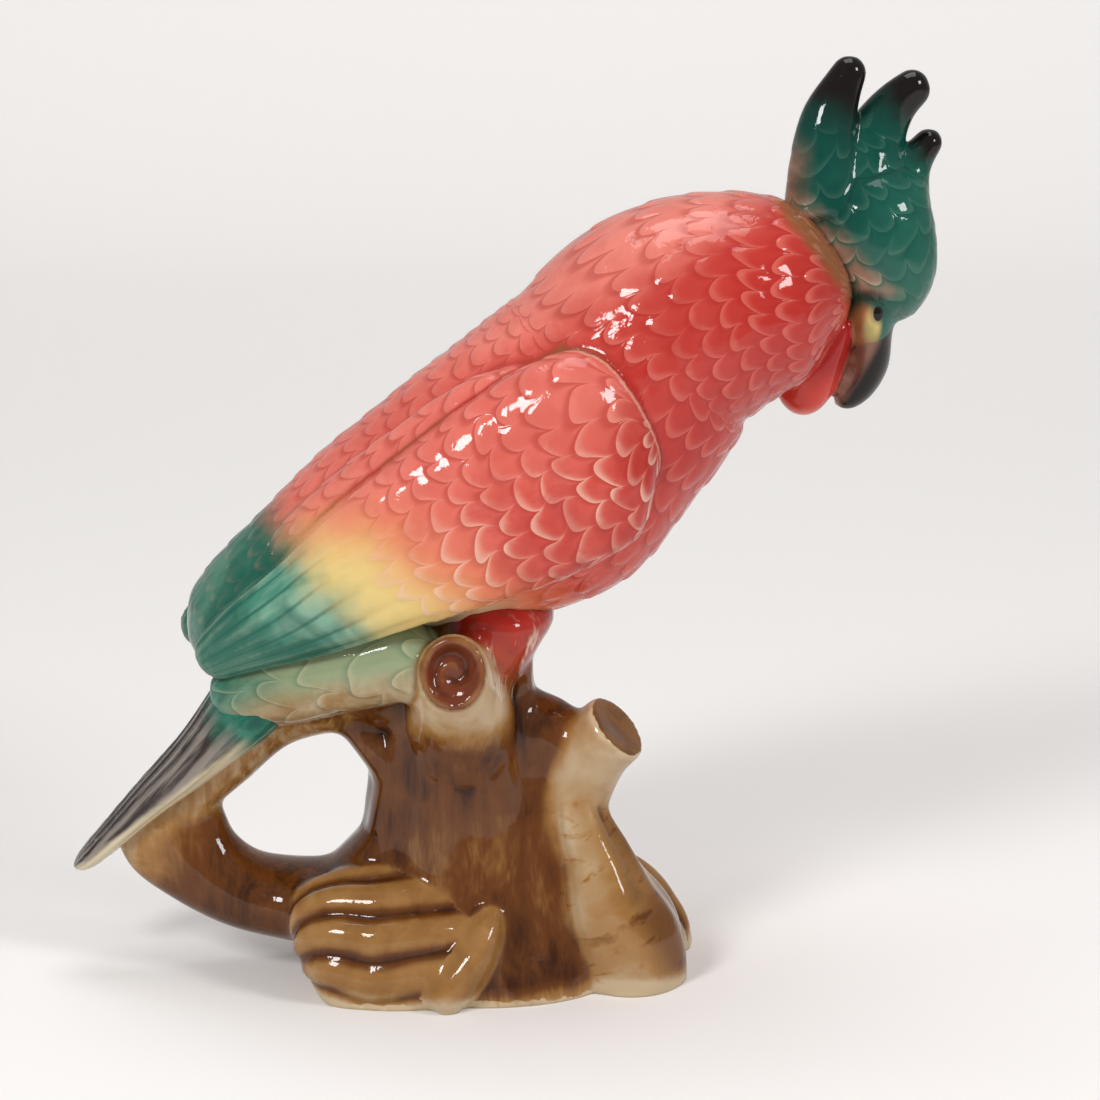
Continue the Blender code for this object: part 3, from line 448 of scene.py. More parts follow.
class Skin:
    """A mesh's points, edges and normals as arrays, with the smoothing steps of the glaze."""

    def __init__(self, mesh):
        self.mesh = mesh
        count = len(mesh.vertices)
        self.place = np.empty(count * 3)
        mesh.vertices.foreach_get("co", self.place)
        self.place = self.place.reshape(-1, 3)
        ends = np.empty(len(mesh.edges) * 2, dtype=np.int32)
        mesh.edges.foreach_get("vertices", ends)
        self.a = np.concatenate([ends[0::2], ends[1::2]])
        self.b = np.concatenate([ends[1::2], ends[0::2]])
        self.degree = np.maximum(np.bincount(self.a, minlength=count), 1)
        self.read_normals()

    def read_normals(self):
        self.mesh.vertices.foreach_set("co", self.place.ravel())
        self.mesh.update()
        normal = np.empty(len(self.place) * 3)
        self.mesh.vertex_normals.foreach_get("vector", normal)
        self.normal = normal.reshape(-1, 3)

    def average(self, values):
        """Mean of each point's neighbours."""
        if values.ndim == 1:
            return np.bincount(self.a, weights=values[self.b], minlength=len(values)) / self.degree
        return np.stack([self.average(values[:, k]) for k in range(values.shape[1])], axis=1)

    def blur(self, values, rounds):
        for _ in range(rounds):
            values = 0.5 * values + 0.5 * self.average(values)
        return values

    def relax(self, weight, rounds, inward=1.0):
        """Move each point towards its neighbours' mean; inward below 1 keeps the ridges."""
        for turn in range(rounds):
            if turn % 3 == 0:
                self.read_normals()
            step = self.average(self.place) - self.place
            outward = (step * self.normal).sum(axis=1)
            share = weight * np.where(outward > 0.0, 1.0, inward)
            self.place = self.place + share[:, None] * step
        self.read_normals()

    def hollow(self):
        """How far the surface dips at each point: the neighbours' mean along the normal."""
        return ((self.average(self.place) - self.place) * self.normal).sum(axis=1)


def fused_skin(name, source, grain, level):
    """A copy of the lofts fused into one skin of even grain, cut level at the ground if asked."""
    skin = bpy.data.objects.new(name, source.data.copy())
    bpy.context.scene.collection.objects.link(skin)
    remesh = skin.modifiers.new("fuse", "REMESH")
    remesh.mode = "VOXEL"
    remesh.voxel_size = grain
    settle(skin)
    if level:
        cut_at_ground(skin)
    return skin


def form_marks(forms, totals, kind, run):
    """Height, row, column and share of feathers at each point, from the relief of its own form.
    The height fades towards both ends of the form."""
    share = np.mod(np.arctan2(run[:, 2], run[:, 1]) / (2 * math.pi), 1.0)
    marks = np.zeros((4, len(kind)))
    for number, form in enumerate(forms.values()):
        here = kind == number
        s = np.minimum(run[here, 0], 1.0) * totals[number]
        up, *places = (form.relief or plain)(s, share[here], totals[number])
        near_end = np.minimum(s / form.ends[0], (totals[number] - s) / form.ends[1])
        marks[:, here] = (up * np.clip(near_end, 0.0, 1.0) ** 0.5, *places)
    return marks


# Where a relief that runs on from its first form starts to fade on the others, over what share
# of their length, and how many rounds of blur soften that.
FADE_END, FADE_RUN, FADE_BLUR = 0.65, 0.25, 16


def run_on(marks, field, work, kind, names, run):
    """Lay one relief over several forms, field being (axis, length, relief, names of forms). It
    fades along every form but the first."""
    axis, length, relief, wanted = field
    here = np.isin(kind, [names.index(n) for n in wanted])
    away = work.place[here] - (axis.start + SEAT)
    turn = np.arctan2(away @ axis.side, away @ axis.rise) / (2 * math.pi)
    marks[:, here] = relief(away @ axis.along, np.mod(turn, 1.0), length)
    tips = here & (kind != names.index(wanted[0]))
    taper = np.ones(len(kind))
    taper[tips] = np.clip((FADE_END - run[tips, 0]) / FADE_RUN, 0.0, 1.0)
    taper = work.blur(taper, FADE_BLUR)
    marks[0] *= taper
    marks[3] *= taper


# A dip this deep, as a share of the grain, is a full crease. The relief loses
# the second share of its height there.
FULL_CREASE, CREASE_LOSS = 0.035, 0.8


def carved_piece(name, forms, grain, rounds, level=False, masks=(), keep=(), field=None, gouge=0.0):
    """Fuse the forms, round the creases, carve each form's relief along the normals and store
    the marks that the paint follows. masks lists (label, names of forms, rounds of blur), keep
    lists (centre, radius) of details that stay sharp, and field is the relief of run_on().
    Creases are cut deeper by gouge."""
    source, totals = joined_lofts(name + "_lofts", forms, grain * 2.0)
    skin = fused_skin(name, source, grain, level)
    work = Skin(skin.data)
    grounded = work.place[:, 2] < 1e-5 if level else np.zeros(len(work.place), bool)
    free = np.where(grounded, 0.0, 1.0)
    for centre, radius in keep:
        away = np.linalg.norm(work.place - (centre + SEAT), axis=1) / radius
        free = free * np.clip(2.0 * away - 1.4, 0.15, 1.0)
    work.relax(0.6 * free, rounds, inward=0.25)
    work.relax(0.5 * free, 2)
    carry_marks(skin, source)
    run = get_values(skin.data, "run", 3)
    kind = np.rint(get_values(skin.data, "form")).astype(int)
    work = Skin(skin.data)
    dips = work.blur(np.maximum(work.hollow(), 0.0), 5)
    crease = np.clip(dips / (FULL_CREASE * grain), 0.0, 1.0)
    names = list(forms)
    marks = form_marks(forms, totals, kind, run)
    if field is not None:
        run_on(marks, field, work, kind, names, run)
    lift, row, column, covered = marks
    fade = (1.0 - CREASE_LOSS * crease) * np.clip(2 * free, 0.0, 1.0)
    direction = work.normal.copy()
    direction[grounded, 2] = 0.0
    work.place = work.place + direction * (lift * fade - gouge * crease)[:, None]
    work.read_normals()
    work.relax(0.5 * free, 4)
    turn = 2 * math.pi * column
    across = np.stack([np.cos(turn), np.sin(turn), 0.0 * turn], axis=1)
    stored = {"row": row, "across": across, "covered": work.blur(covered * fade, 2),
              "dip": work.blur(work.hollow(), 2) / grain,
              "wide_dip": work.blur(work.hollow(), 12) / grain, "along": run[:, 0]}
    for label, wanted, softness in masks:
        member = np.isin(kind, [names.index(n) for n in wanted])
        if label in ("cut", "knot_face", "knot_rim"):
            member &= run[:, 0] > 1.0
        stored[label] = work.blur(member.astype(float), softness)
    for label, values in stored.items():
        put_values(skin.data, label, values)
    for spare in ("run", "form"):
        skin.data.attributes.remove(skin.data.attributes[spare])
    skin.data.shade_smooth()
    old = source.data
    bpy.data.objects.remove(source)
    bpy.data.meshes.remove(old)
    skin.data.materials.clear()
    return skin


def figurine_axes(scene):
    """Axes of every form, each started from a point of the form that carries it."""
    bird, head, stump = scene.figurine_bird, scene.figurine_head, scene.figurine_stump
    ax = {}
    ax["trunk"] = trunk = Axis((0.0, 0.0, -stump.sunk), stump.trunk_height, lean=89.2)
    ax["torso"] = torso = Axis(trunk.at(0.79, 0.65), bird.body_length, 29.5)
    ax["near_wing"] = Axis(torso.at(0.011, 0.0, -0.079), bird.wing_length, 29.5, -6.0)
    ax["far_wing"] = Axis(torso.at(-0.023, 0.012, 0.079), bird.wing_length * 1.035, 28.2, 6.0)
    ax["near_shoulder"] = Axis(torso.at(0.17, 0.08, -0.075), bird.shoulder_length, 32.1, -8.0)
    ax["far_shoulder"] = Axis(torso.at(0.17, 0.055, 0.075), bird.shoulder_length, 32.1, 8.0)
    ax["tail"] = tail = Axis(torso.at(-0.301, -0.175), bird.tail_length, 42.5)
    ax["head"] = skull = Axis(torso.at(1.04, -0.076, 0.05), head.head_height, 108.8, 6.6)
    ax["tall"] = Axis(skull.at(0.75, 0.241, -0.046), head.tall_plume, 80.1, 10.0)
    ax["middle"] = Axis(skull.at(0.811, 0.008, 0.03), head.middle_plume, 60.9, 5.7)
    ax["short"] = Axis(skull.at(0.653, -0.190, 0.042), head.short_plume, 63.6, 4.9)
    ax["beak"] = Axis(skull.at(-0.35, 0.535, 0.042), head.beak_length, 67.1, -13.5)
    ax["bill"] = Axis(skull.at(-0.30, 0.53, 0.02), end=skull.at(0.02, 0.27, 0.02))
    ax["throat"] = Axis(skull.at(-0.30, 0.80, 0.02), end=skull.at(0.17, 0.33, 0.02))
    ax["cheek"] = Axis(skull.at(-0.08, 0.27, 0.01), end=skull.at(0.26, 0.12, 0.01))
    ax["eyes"] = Axis(skull.at(0.145, 0.165, -0.245), end=skull.at(0.145, 0.165, 0.245))
    ax["stub"] = stub = Axis(trunk.at(0.308, -0.052, 0.014), stump.stub_length, 50.9, -20.6)
    ax["knot"] = Axis(trunk.at(0.630, 0.049, -0.047), stump.knot_length, 42.0, -93.9)
    ax["mound"] = Axis(trunk.at(0.106, 0.40, -0.122), stump.mound_length, -4.8, 1.6)
    ax["root"] = Axis(trunk.at(0.548, -0.198, -0.07), end=trunk.at(0.005, -0.360, -0.07))
    ax["back_root"] = Axis(trunk.at(0.051, 0.35, 0.14), stump.back_length, -1.0, -1.9)
    ax["thigh"] = Axis(trunk.at(0.62, -0.01), end=torso.at(0.42, -0.12))
    ax["bridge"] = Axis(tail.at(0.36, -0.10), end=trunk.at(0.714, 0.124))
    ax["prop"] = Axis(tail.at(0.31, -0.035), end=trunk.at(0.201, 0.19))
    ax["crotch"] = Axis(trunk.at(0.66, -0.02), end=stub.at(0.76, 0.07))
    ax["upper_web"] = Axis(trunk.at(0.695, 0.330), end=trunk.at(0.500, 0.185))
    ax["lower_web"] = Axis(trunk.at(0.450, 0.185), end=trunk.at(0.255, 0.345))
    ax["toe"] = Axis(trunk.at(0.275, -0.035, -0.205), end=trunk.at(0.052, 0.110, -0.275))
    ax["near_coverts"] = Axis(torso.at(-0.005, -0.048, -0.052), end=torso.at(0.30, -0.128, -0.106))
    ax["far_coverts"] = Axis(torso.at(-0.005, -0.048, 0.052), end=torso.at(0.30, -0.128, 0.106))
    return ax


def bird_forms(scene, ax):
    bird, cut = scene.figurine_bird, scene.figurine_carving
    covert = 0.55 * bird.wing_length
    rows_of_coverts = covert / cut.wing_pitch
    wing_marks = [(0.0, 0.0), (covert, rows_of_coverts), (bird.wing_length, rows_of_coverts + 2.2)]
    body_marks = [(0.0, 0.0), (bird.body_length, bird.body_length / cut.feather_pitch)]
    on_body = feathers(cut.feather_height, body_marks, 28)
    on_wing = feathers(cut.feather_height, wing_marks, 15, vanes_from=covert)
    shoulder_marks = [(0.0, 0.0), (bird.shoulder_length, bird.shoulder_length / cut.feather_pitch)]
    on_shoulder = feathers(cut.feather_height, shoulder_marks, 8)
    wing_rows = [
        (0.00, 0.00, 0.000, 0.29, 0.20, 0.20), (0.12, 0.01, 0.025, 0.50, 0.37, 0.37),
        (0.27, 0.01, 0.042, 0.71, 0.55, 0.55), (0.43, 0.02, 0.057, 0.86, 0.73, 0.73),
        (0.59, 0.02, 0.060, 0.93, 0.88, 0.88), (0.75, 0.02, 0.052, 1.00, 1.00, 1.00),
        (0.90, 0.02, 0.033, 1.00, 0.98, 0.98), (1.00, 0.00, 0.000, 0.79, 0.71, 0.71)]
    shoulder_rows = [
        (0.00, 0.00, 0.00, 0.56, 0.38, 0.43), (0.27, 0.02, 0.02, 0.89, 0.68, 0.78),
        (0.53, 0.03, 0.03, 1.00, 0.84, 0.96), (0.80, 0.03, 0.02, 1.00, 0.90, 1.00),
        (1.00, 0.00, 0.00, 0.89, 0.66, 0.70)]

    def near(rows):
        return [(a, r, -b, w, u, d) for a, r, b, w, u, d in rows]

    wing = dict(width=bird.wing_width, depth=bird.wing_depth, ends=(0.006, 0.017), power=2.3,
                relief=on_wing)
    shoulder = dict(width=bird.shoulder_width, depth=bird.shoulder_depth, ends=(0.008, 0.014),
                    relief=on_shoulder)
    return {
        "torso": Form(ax["torso"], bird.body_width, bird.body_depth, [
            (0.00, 0.00, 0.00, 0.37, 0.26, 0.20), (0.07, 0.01, 0.00, 0.54, 0.41, 0.38),
            (0.18, 0.02, 0.00, 0.68, 0.54, 0.55), (0.29, 0.02, 0.00, 0.80, 0.71, 0.70),
            (0.41, 0.01, 0.00, 0.88, 0.87, 0.87), (0.54, 0.01, 0.00, 0.95, 0.95, 1.00),
            (0.66, 0.03, 0.00, 1.00, 0.95, 0.83), (0.76, 0.07, 0.00, 1.00, 0.87, 0.79),
            (0.86, 0.06, 0.00, 0.90, 0.77, 0.69), (0.94, 0.03, 0.00, 0.71, 0.60, 0.56),
            (1.00, 0.00, 0.00, 0.44, 0.34, 0.34)], ends=(0.014, 0.020), relief=on_body),
        "near_wing": Form(ax["near_wing"], rows=near(wing_rows), **wing),
        "far_wing": Form(ax["far_wing"], rows=wing_rows, **wing),
        "near_shoulder": Form(ax["near_shoulder"], rows=near(shoulder_rows), **shoulder),
        "far_shoulder": Form(ax["far_shoulder"], rows=shoulder_rows, **shoulder),
    }


def tail_forms(scene, ax):
    bird, cut = scene.figurine_bird, scene.figurine_carving
    return {"tail": Form(ax["tail"], bird.tail_width, bird.tail_depth, [
        (0.00, 0.00, 0.00, 0.25, 0.10, 0.21), (0.13, 0.00, 0.00, 0.46, 0.18, 0.25),
        (0.35, 0.00, 0.00, 0.67, 0.33, 0.29), (0.56, -0.01, 0.00, 0.83, 0.52, 0.36),
        (0.78, -0.01, 0.00, 0.96, 0.79, 0.46), (1.00, 0.00, 0.00, 1.00, 1.00, 0.52)],
        ends=(0.008, 0.006), relief=vanes(0.7 * cut.feather_height, 14))}


def head_forms(scene, ax):
    head = scene.figurine_head
    plume = dict(width=head.plume_width, depth=head.plume_depth)
    return {
        "head": Form(ax["head"], head.head_width, head.head_depth, [
            (0.00, 0.00, 0.00, 0.50, 0.33, 0.33), (0.21, 0.00, 0.01, 0.85, 0.65, 0.65),
            (0.47, -0.01, 0.02, 1.00, 0.85, 0.85), (0.73, 0.02, 0.01, 0.90, 1.00, 1.00),
            (1.00, 0.00, 0.00, 0.60, 0.85, 0.85)], ends=(0.010, 0.014)),
        "tall": Form(ax["tall"], rows=[
            (0.00, 0.00, 0.00, 1.00, 1.15, 0.98), (0.30, 0.10, 0.00, 0.77, 0.80, 0.80),
            (0.61, 0.11, 0.00, 0.62, 0.67, 0.67), (0.85, 0.05, 0.01, 0.46, 0.46, 0.46),
            (1.00, 0.00, 0.00, 0.38, 0.36, 0.36)], ends=(0.004, 0.005), **plume),
        "middle": Form(ax["middle"], rows=[
            (0.00, 0.00, 0.00, 1.00, 1.00, 1.10), (0.36, 0.13, 0.01, 0.69, 0.69, 0.88),
            (0.68, 0.13, 0.01, 0.50, 0.46, 0.68), (1.00, 0.00, 0.00, 0.42, 0.36, 0.46)],
            ends=(0.004, 0.005), **plume),
        "short": Form(ax["short"], rows=[
            (0.00, 0.00, 0.00, 0.85, 0.73, 0.73), (0.50, 0.08, 0.02, 0.54, 0.46, 0.46),
            (1.00, 0.00, 0.00, 0.38, 0.29, 0.29)], ends=(0.004, 0.004), **plume),
        "beak": Form(ax["beak"], head.beak_width, head.beak_depth, [
            (0.00, 0.00, 0.00, 0.50, 0.50, 0.50), (0.24, -0.12, 0.02, 0.80, 0.80, 0.74),
            (0.48, -0.15, 0.03, 1.00, 0.80, 0.80), (0.80, -0.06, 0.03, 1.05, 0.84, 0.80),
            (1.00, 0.00, 0.00, 1.00, 0.86, 0.86)], ends=(0.005, 0.004)),
        "bill": Form(ax["bill"], head.bill_width, head.bill_depth, [
            (0.00, 0.00, 0.00, 0.60, 0.70, 0.70), (0.40, -0.05, 0.00, 1.00, 1.00, 1.00),
            (1.00, 0.00, 0.00, 0.90, 0.80, 0.80)], ends=(0.004, 0.004)),
        "throat": Form(ax["throat"], head.throat_width, head.throat_depth, [
            (0.00, 0.00, 0.00, 0.62, 0.62, 0.50), (0.28, -0.02, -0.02, 0.90, 0.92, 0.74),
            (0.60, -0.03, -0.02, 1.00, 0.84, 0.62), (1.00, 0.00, 0.00, 0.90, 0.64, 0.48)],
            ends=(0.006, 0.004)),
        "cheek": Form(ax["cheek"], head.cheek_width, head.cheek_depth, [
            (0.00, 0.00, 0.00, 0.80, 0.85, 0.85), (0.50, 0.00, 0.00, 1.00, 1.00, 1.00),
            (1.00, 0.00, 0.00, 1.00, 1.00, 1.00)], ends=(0.006, 0.006)),
        "eyes": Form(ax["eyes"], head.eye_radius, 1.5 * head.eye_radius, [
            (0.00, 0.00, 0.00, 1.00, 1.00, 1.00), (0.50, 0.00, 0.00, 1.00, 1.00, 1.00),
            (1.00, 0.00, 0.00, 1.00, 1.00, 1.00)], ends=(0.002, 0.002)),
    }


def stump_forms(scene, ax):
    stump, cut = scene.figurine_stump, scene.figurine_carving
    length = ax["near_coverts"].length
    lobes = feathers(0.7 * cut.feather_height, [(0.0, 0.0), (length, length / cut.covert_pitch)], 5)
    covert = dict(width=stump.covert_width, depth=stump.covert_depth, ends=(0.008, 0.010), relief=lobes)
    web = dict(width=stump.web_width, depth=stump.web_depth, ends=(0.006, 0.006))
    covert_rows = [
        (0.00, 0.00, 0.00, 0.55, 0.55, 0.60), (0.25, 0.01, 0.00, 0.90, 0.90, 1.05),
        (0.60, 0.01, 0.00, 1.00, 1.00, 1.10), (1.00, 0.00, 0.00, 0.90, 1.00, 1.10)]
    return {
        "trunk": Form(ax["trunk"], stump.trunk_width, stump.trunk_depth, [
            (0.00, 0.00, 0.00, 1.12, 1.00, 1.00), (0.14, 0.02, 0.00, 1.02, 0.90, 0.90),
            (0.27, 0.02, 0.00, 0.84, 0.76, 0.79), (0.42, 0.05, 0.00, 0.72, 0.63, 0.69),
            (0.58, 0.06, 0.00, 0.69, 0.52, 0.58), (0.72, 0.06, 0.00, 0.64, 0.44, 0.48),
            (0.86, 0.04, 0.00, 0.58, 0.42, 0.42), (1.00, 0.00, 0.00, 0.53, 0.38, 0.38)],
            ends=(0.003, 0.003), relief=bark(cut.bark_height, 9)),
        "stub": Form(ax["stub"], stump.stub_width, stump.stub_depth, [
            (0.00, 0.00, 0.00, 1.00, 1.00, 1.00), (0.46, -0.01, 0.02, 0.70, 0.66, 0.66),
            (0.88, 0.036, 0.00, 0.62, 0.56, 0.54), (1.00, 0.018, 0.00, 0.61, 0.55, 0.53)],
            ends=(0.003, 0.0012), face=cut_face),
        "knot": Form(ax["knot"], stump.knot_width, stump.knot_depth, [
            (0.00, 0.00, 0.00, 1.30, 1.10, 1.70), (0.30, 0.02, 0.00, 1.14, 1.02, 1.30),
            (0.62, 0.03, -0.01, 0.93, 0.94, 1.00), (0.93, 0.04, 0.00, 0.77, 0.88, 0.88),
            (1.00, 0.00, 0.00, 0.72, 0.88, 0.88)],
            ends=(0.003, 0.0012), face=knot_face),
        "mound": Form(ax["mound"], stump.mound_width, stump.mound_depth, [
            (0.00, 0.00, 0.00, 0.52, 0.48, 0.42), (0.12, 0.07, -0.03, 0.84, 0.83, 0.76),
            (0.34, 0.08, -0.04, 1.00, 1.00, 1.00), (0.63, 0.08, -0.05, 1.00, 0.97, 0.97),
            (0.85, 0.04, -0.02, 0.87, 0.76, 0.76), (1.00, 0.00, 0.00, 0.52, 0.41, 0.41)],
            ends=(0.008, 0.008), relief=folds(0.85 * cut.fold_height, 11, 2.5)),
        "root": Form(ax["root"], stump.root_width, stump.root_depth, [
            (0.00, 0.00, 0.00, 0.28, 0.22, 0.22), (0.21, -0.03, 0.00, 0.45, 0.33, 0.33),
            (0.38, -0.01, 0.00, 0.58, 0.40, 0.44), (0.55, 0.00, 0.00, 0.76, 0.51, 0.57),
            (0.73, 0.02, 0.02, 0.84, 0.62, 0.66), (0.89, 0.00, 0.04, 0.82, 0.61, 0.64),
            (1.00, -0.03, 0.06, 0.72, 0.55, 0.60)],
            ends=(0.014, 0.003), relief=bark(0.6 * cut.bark_height, 7)),
        "back_root": Form(ax["back_root"], stump.back_width, stump.back_depth, [
            (0.00, 0.00, 0.00, 0.73, 0.59, 0.59), (0.25, 0.02, 0.04, 0.91, 0.88, 0.88),
            (0.57, 0.06, 0.05, 1.00, 0.98, 1.00), (0.79, 0.05, 0.04, 0.91, 0.78, 0.84),
            (0.93, 0.01, 0.02, 0.76, 0.46, 0.74), (1.00, 0.00, 0.00, 0.55, 0.30, 0.60)],
            ends=(0.010, 0.008), relief=folds(0.9 * cut.fold_height, 9, 2.0)),
        "bridge": Form(ax["bridge"], stump.bridge_width, stump.bridge_depth, [
            (0.00, 0.00, 0.00, 0.56, 0.60, 0.47), (0.25, 0.09, 0.00, 0.76, 0.95, 0.72),
            (0.49, 0.16, 0.00, 0.86, 1.10, 0.85), (0.69, 0.13, 0.00, 0.98, 1.60, 0.92),
            (0.86, 0.07, 0.00, 1.10, 2.00, 0.98), (1.00, 0.00, 0.00, 1.12, 2.20, 1.05)],
            ends=(0.006, 0.006)),
        "prop": Form(ax["prop"], stump.prop_width, stump.prop_depth, [
            (0.00, 0.04, 0.00, 0.34, 0.80, 0.80), (0.12, -0.05, 0.00, 0.42, 0.90, 0.90),
            (0.26, -0.12, 0.00, 0.54, 0.73, 0.73), (0.42, -0.15, 0.00, 0.66, 0.64, 0.64),
            (0.61, -0.12, 0.00, 0.80, 0.64, 0.64), (0.80, -0.06, 0.00, 0.94, 0.70, 0.72),
            (1.00, 0.00, 0.00, 1.00, 0.90, 0.90)], ends=(0.003, 0.006)),
        "upper_web": Form(ax["upper_web"], rows=[
            (0.00, 0.00, 0.00, 0.70, 0.90, 0.90), (0.50, 0.02, 0.00, 1.00, 1.00, 0.90),
            (1.00, 0.00, 0.00, 0.90, 0.90, 0.90)], **web),
        "lower_web": Form(ax["lower_web"], rows=[
            (0.00, 0.00, 0.00, 0.90, 0.90, 0.90), (0.50, 0.04, 0.00, 1.05, 1.10, 0.90),
            (1.00, 0.00, 0.00, 0.90, 0.90, 0.90)], **web),
        "toe": Form(ax["toe"], stump.toe_width, stump.toe_depth, [
            (0.00, 0.00, 0.00, 0.45, 0.45, 0.45), (0.45, 0.05, -0.06, 0.85, 0.90, 0.90),
            (1.00, 0.00, 0.00, 1.00, 1.00, 1.00)], ends=(0.008, 0.006)),
        "near_coverts": Form(ax["near_coverts"], rows=covert_rows, **covert),
        "far_coverts": Form(ax["far_coverts"], rows=covert_rows, **covert),
        "thigh": Form(ax["thigh"], scene.figurine_bird.thigh_width, scene.figurine_bird.thigh_depth, [
            (0.00, 0.00, 0.00, 0.50, 0.30, 0.30), (0.30, 0.03, 0.00, 0.71, 0.43, 0.38),
            (0.60, 0.03, 0.00, 0.92, 1.00, 0.66), (1.00, 0.00, 0.00, 1.00, 1.35, 1.00)],
            ends=(0.004, 0.010)),
        "crotch": Form(ax["crotch"], stump.crotch_width, stump.crotch_depth, [
            (0.00, 0.00, 0.00, 1.00, 0.72, 1.00), (0.50, 0.05, 0.00, 0.82, 1.00, 1.40),
            (1.00, 0.00, 0.00, 0.78, 0.76, 1.00)]),
    }


class Wires:
    """A node tree being wired: each call adds one node and hands back its output socket."""

    def __init__(self, tree):
        self.tree = tree
        tree.nodes.clear()

    def node(self, kind, inputs=(), **settings):
        made = self.tree.nodes.new(kind)
        for name, value in settings.items():
            setattr(made, name, value)
        for name, value in dict(inputs).items():
            if isinstance(value, bpy.types.NodeSocket):
                self.tree.links.new(value, made.inputs[name])
            else:
                made.inputs[name].default_value = value
        return made

    def value(self, name):
        """A number that the mesh stores at its points."""
        return self.node("ShaderNodeAttribute", attribute_name=name).outputs["Fac"]

    def place(self):
        return self.node("ShaderNodeTexCoord").outputs["Object"]

    def math(self, operation, a, b=0.0, clamp=False):
        made = self.node("ShaderNodeMath", {0: a, 1: b}, operation=operation, use_clamp=clamp)
        return made.outputs[0]

    def times(self, a, b):
        return self.math("MULTIPLY", a, b)

    def less(self, a, b):
        """a less b."""
        return self.math("SUBTRACT", a, b)

    def pick(self, share, a, b):
        """a where share is 1 and b where it is 0."""
        return self.node("ShaderNodeMix", {0: share, 2: b, 3: a}).outputs[0]

    def vector(self, operation, a, b=(0.0, 0.0, 0.0)):
        return self.node("ShaderNodeVectorMath", {0: a, 1: b}, operation=operation)

    def dot(self, a, b):
        return self.vector("DOT_PRODUCT", a, b).outputs["Value"]

    def ease(self, value, low, high, start=0.0, end=1.0):
        """Smooth step from start at low to end at high."""
        return self.node("ShaderNodeMapRange", {"Value": value, "From Min": low, "From Max": high,
                                                "To Min": start, "To Max": end},
                         interpolation_type="SMOOTHSTEP").outputs["Result"]

    def noise(self, place, scale, detail=2.0, rough=0.5, warp=0.0):
        return self.node("ShaderNodeTexNoise", {"Vector": place, "Scale": scale, "Detail": detail,
                                                "Roughness": rough, "Distortion": warp}).outputs["Fac"]

    def streaks(self, along, rise, slow, quick, rough=0.5):
        """Noise drawn out along one direction: slow along it, quick along rise and sideways."""
        place, side = self.place(), np.cross(along, rise)
        parts = [self.dot(place, tuple(pace * np.asarray(way)))
                 for pace, way in ((slow, along), (quick, rise), (quick, side))]
        spread = self.node("ShaderNodeCombineXYZ", dict(enumerate(parts))).outputs[0]
        return self.noise(spread, 1.0, 3.0, rough, 0.4)

    def turned(self):
        """Cosine and sine of the stored place across a form, and 0."""
        across = self.node("ShaderNodeAttribute", attribute_name="across").outputs["Vector"]
        return self.node("ShaderNodeSeparateXYZ", {0: across}).outputs

    def turn_cosine(self):
        return self.turned()["X"]

    def turn_share(self):
        """The stored place across a form, between -1/2 and 1/2."""
        turned = self.turned()
        return self.times(self.math("ARCTAN2", turned["Y"], turned["X"]), 0.5 / math.pi)

    def form_noise(self, around, along):
        """Noise that follows a form, around features about its turn and along features per cm."""
        turned = self.turned()
        parts = [self.times(turned["X"], around), self.times(turned["Y"], around),
                 self.times(self.value("row"), along)]
        spread = self.node("ShaderNodeCombineXYZ", dict(enumerate(parts))).outputs[0]
        return self.noise(spread, 1.0, 3.0, 0.6, 0.5)

    def mix(self, share, a, b):
        """Colour a where share is 0 and b where it is 1."""
        return self.node("ShaderNodeMix", {0: share, 6: a, 7: b}, data_type="RGBA").outputs[2]

    def group(self, name, inputs=()):
        return self.node("ShaderNodeGroup", inputs, node_tree=bpy.data.node_groups[name]).outputs


# Features per metre of the noise that makes a brushed edge wobble.
WOBBLE_SCALE = 90.0


def new_group(name, inputs, outputs):
    """An empty shader group with number or vector inputs, (name, default) each, and number
    outputs. Gives its wires, the sockets of the inputs and those of the outputs."""
    tree = bpy.data.node_groups.new(name, "ShaderNodeTree")
    for label, default in inputs:
        vector = isinstance(default, tuple)
        socket = tree.interface.new_socket(
            label, in_out="INPUT", socket_type="NodeSocketVector" if vector else "NodeSocketFloat")
        socket.default_value = default
    for label in outputs:
        tree.interface.new_socket(label, in_out="OUTPUT", socket_type="NodeSocketFloat")
    wires = Wires(tree)
    return wires, wires.node("NodeGroupInput").outputs, wires.node("NodeGroupOutput").inputs


def brushed_zone():
    """mask = smooth step of (place . direction + wobble * (noise - 1/2)) from From to To."""
    wires, have, give = new_group("brushed_zone", [
        ("Direction", (1.0, 0.0, 0.0)), ("From", 0.0), ("To", 0.01), ("Wobble", 0.003)], ["Mask"])
    place = wires.place()
    sway = wires.less(wires.noise(place, WOBBLE_SCALE, 3.0), 0.5)
    reach = wires.math("ADD", wires.dot(place, have["Direction"]), wires.times(sway, have["Wobble"]))
    wires.tree.links.new(wires.ease(reach, have["From"], have["To"]), give["Mask"])


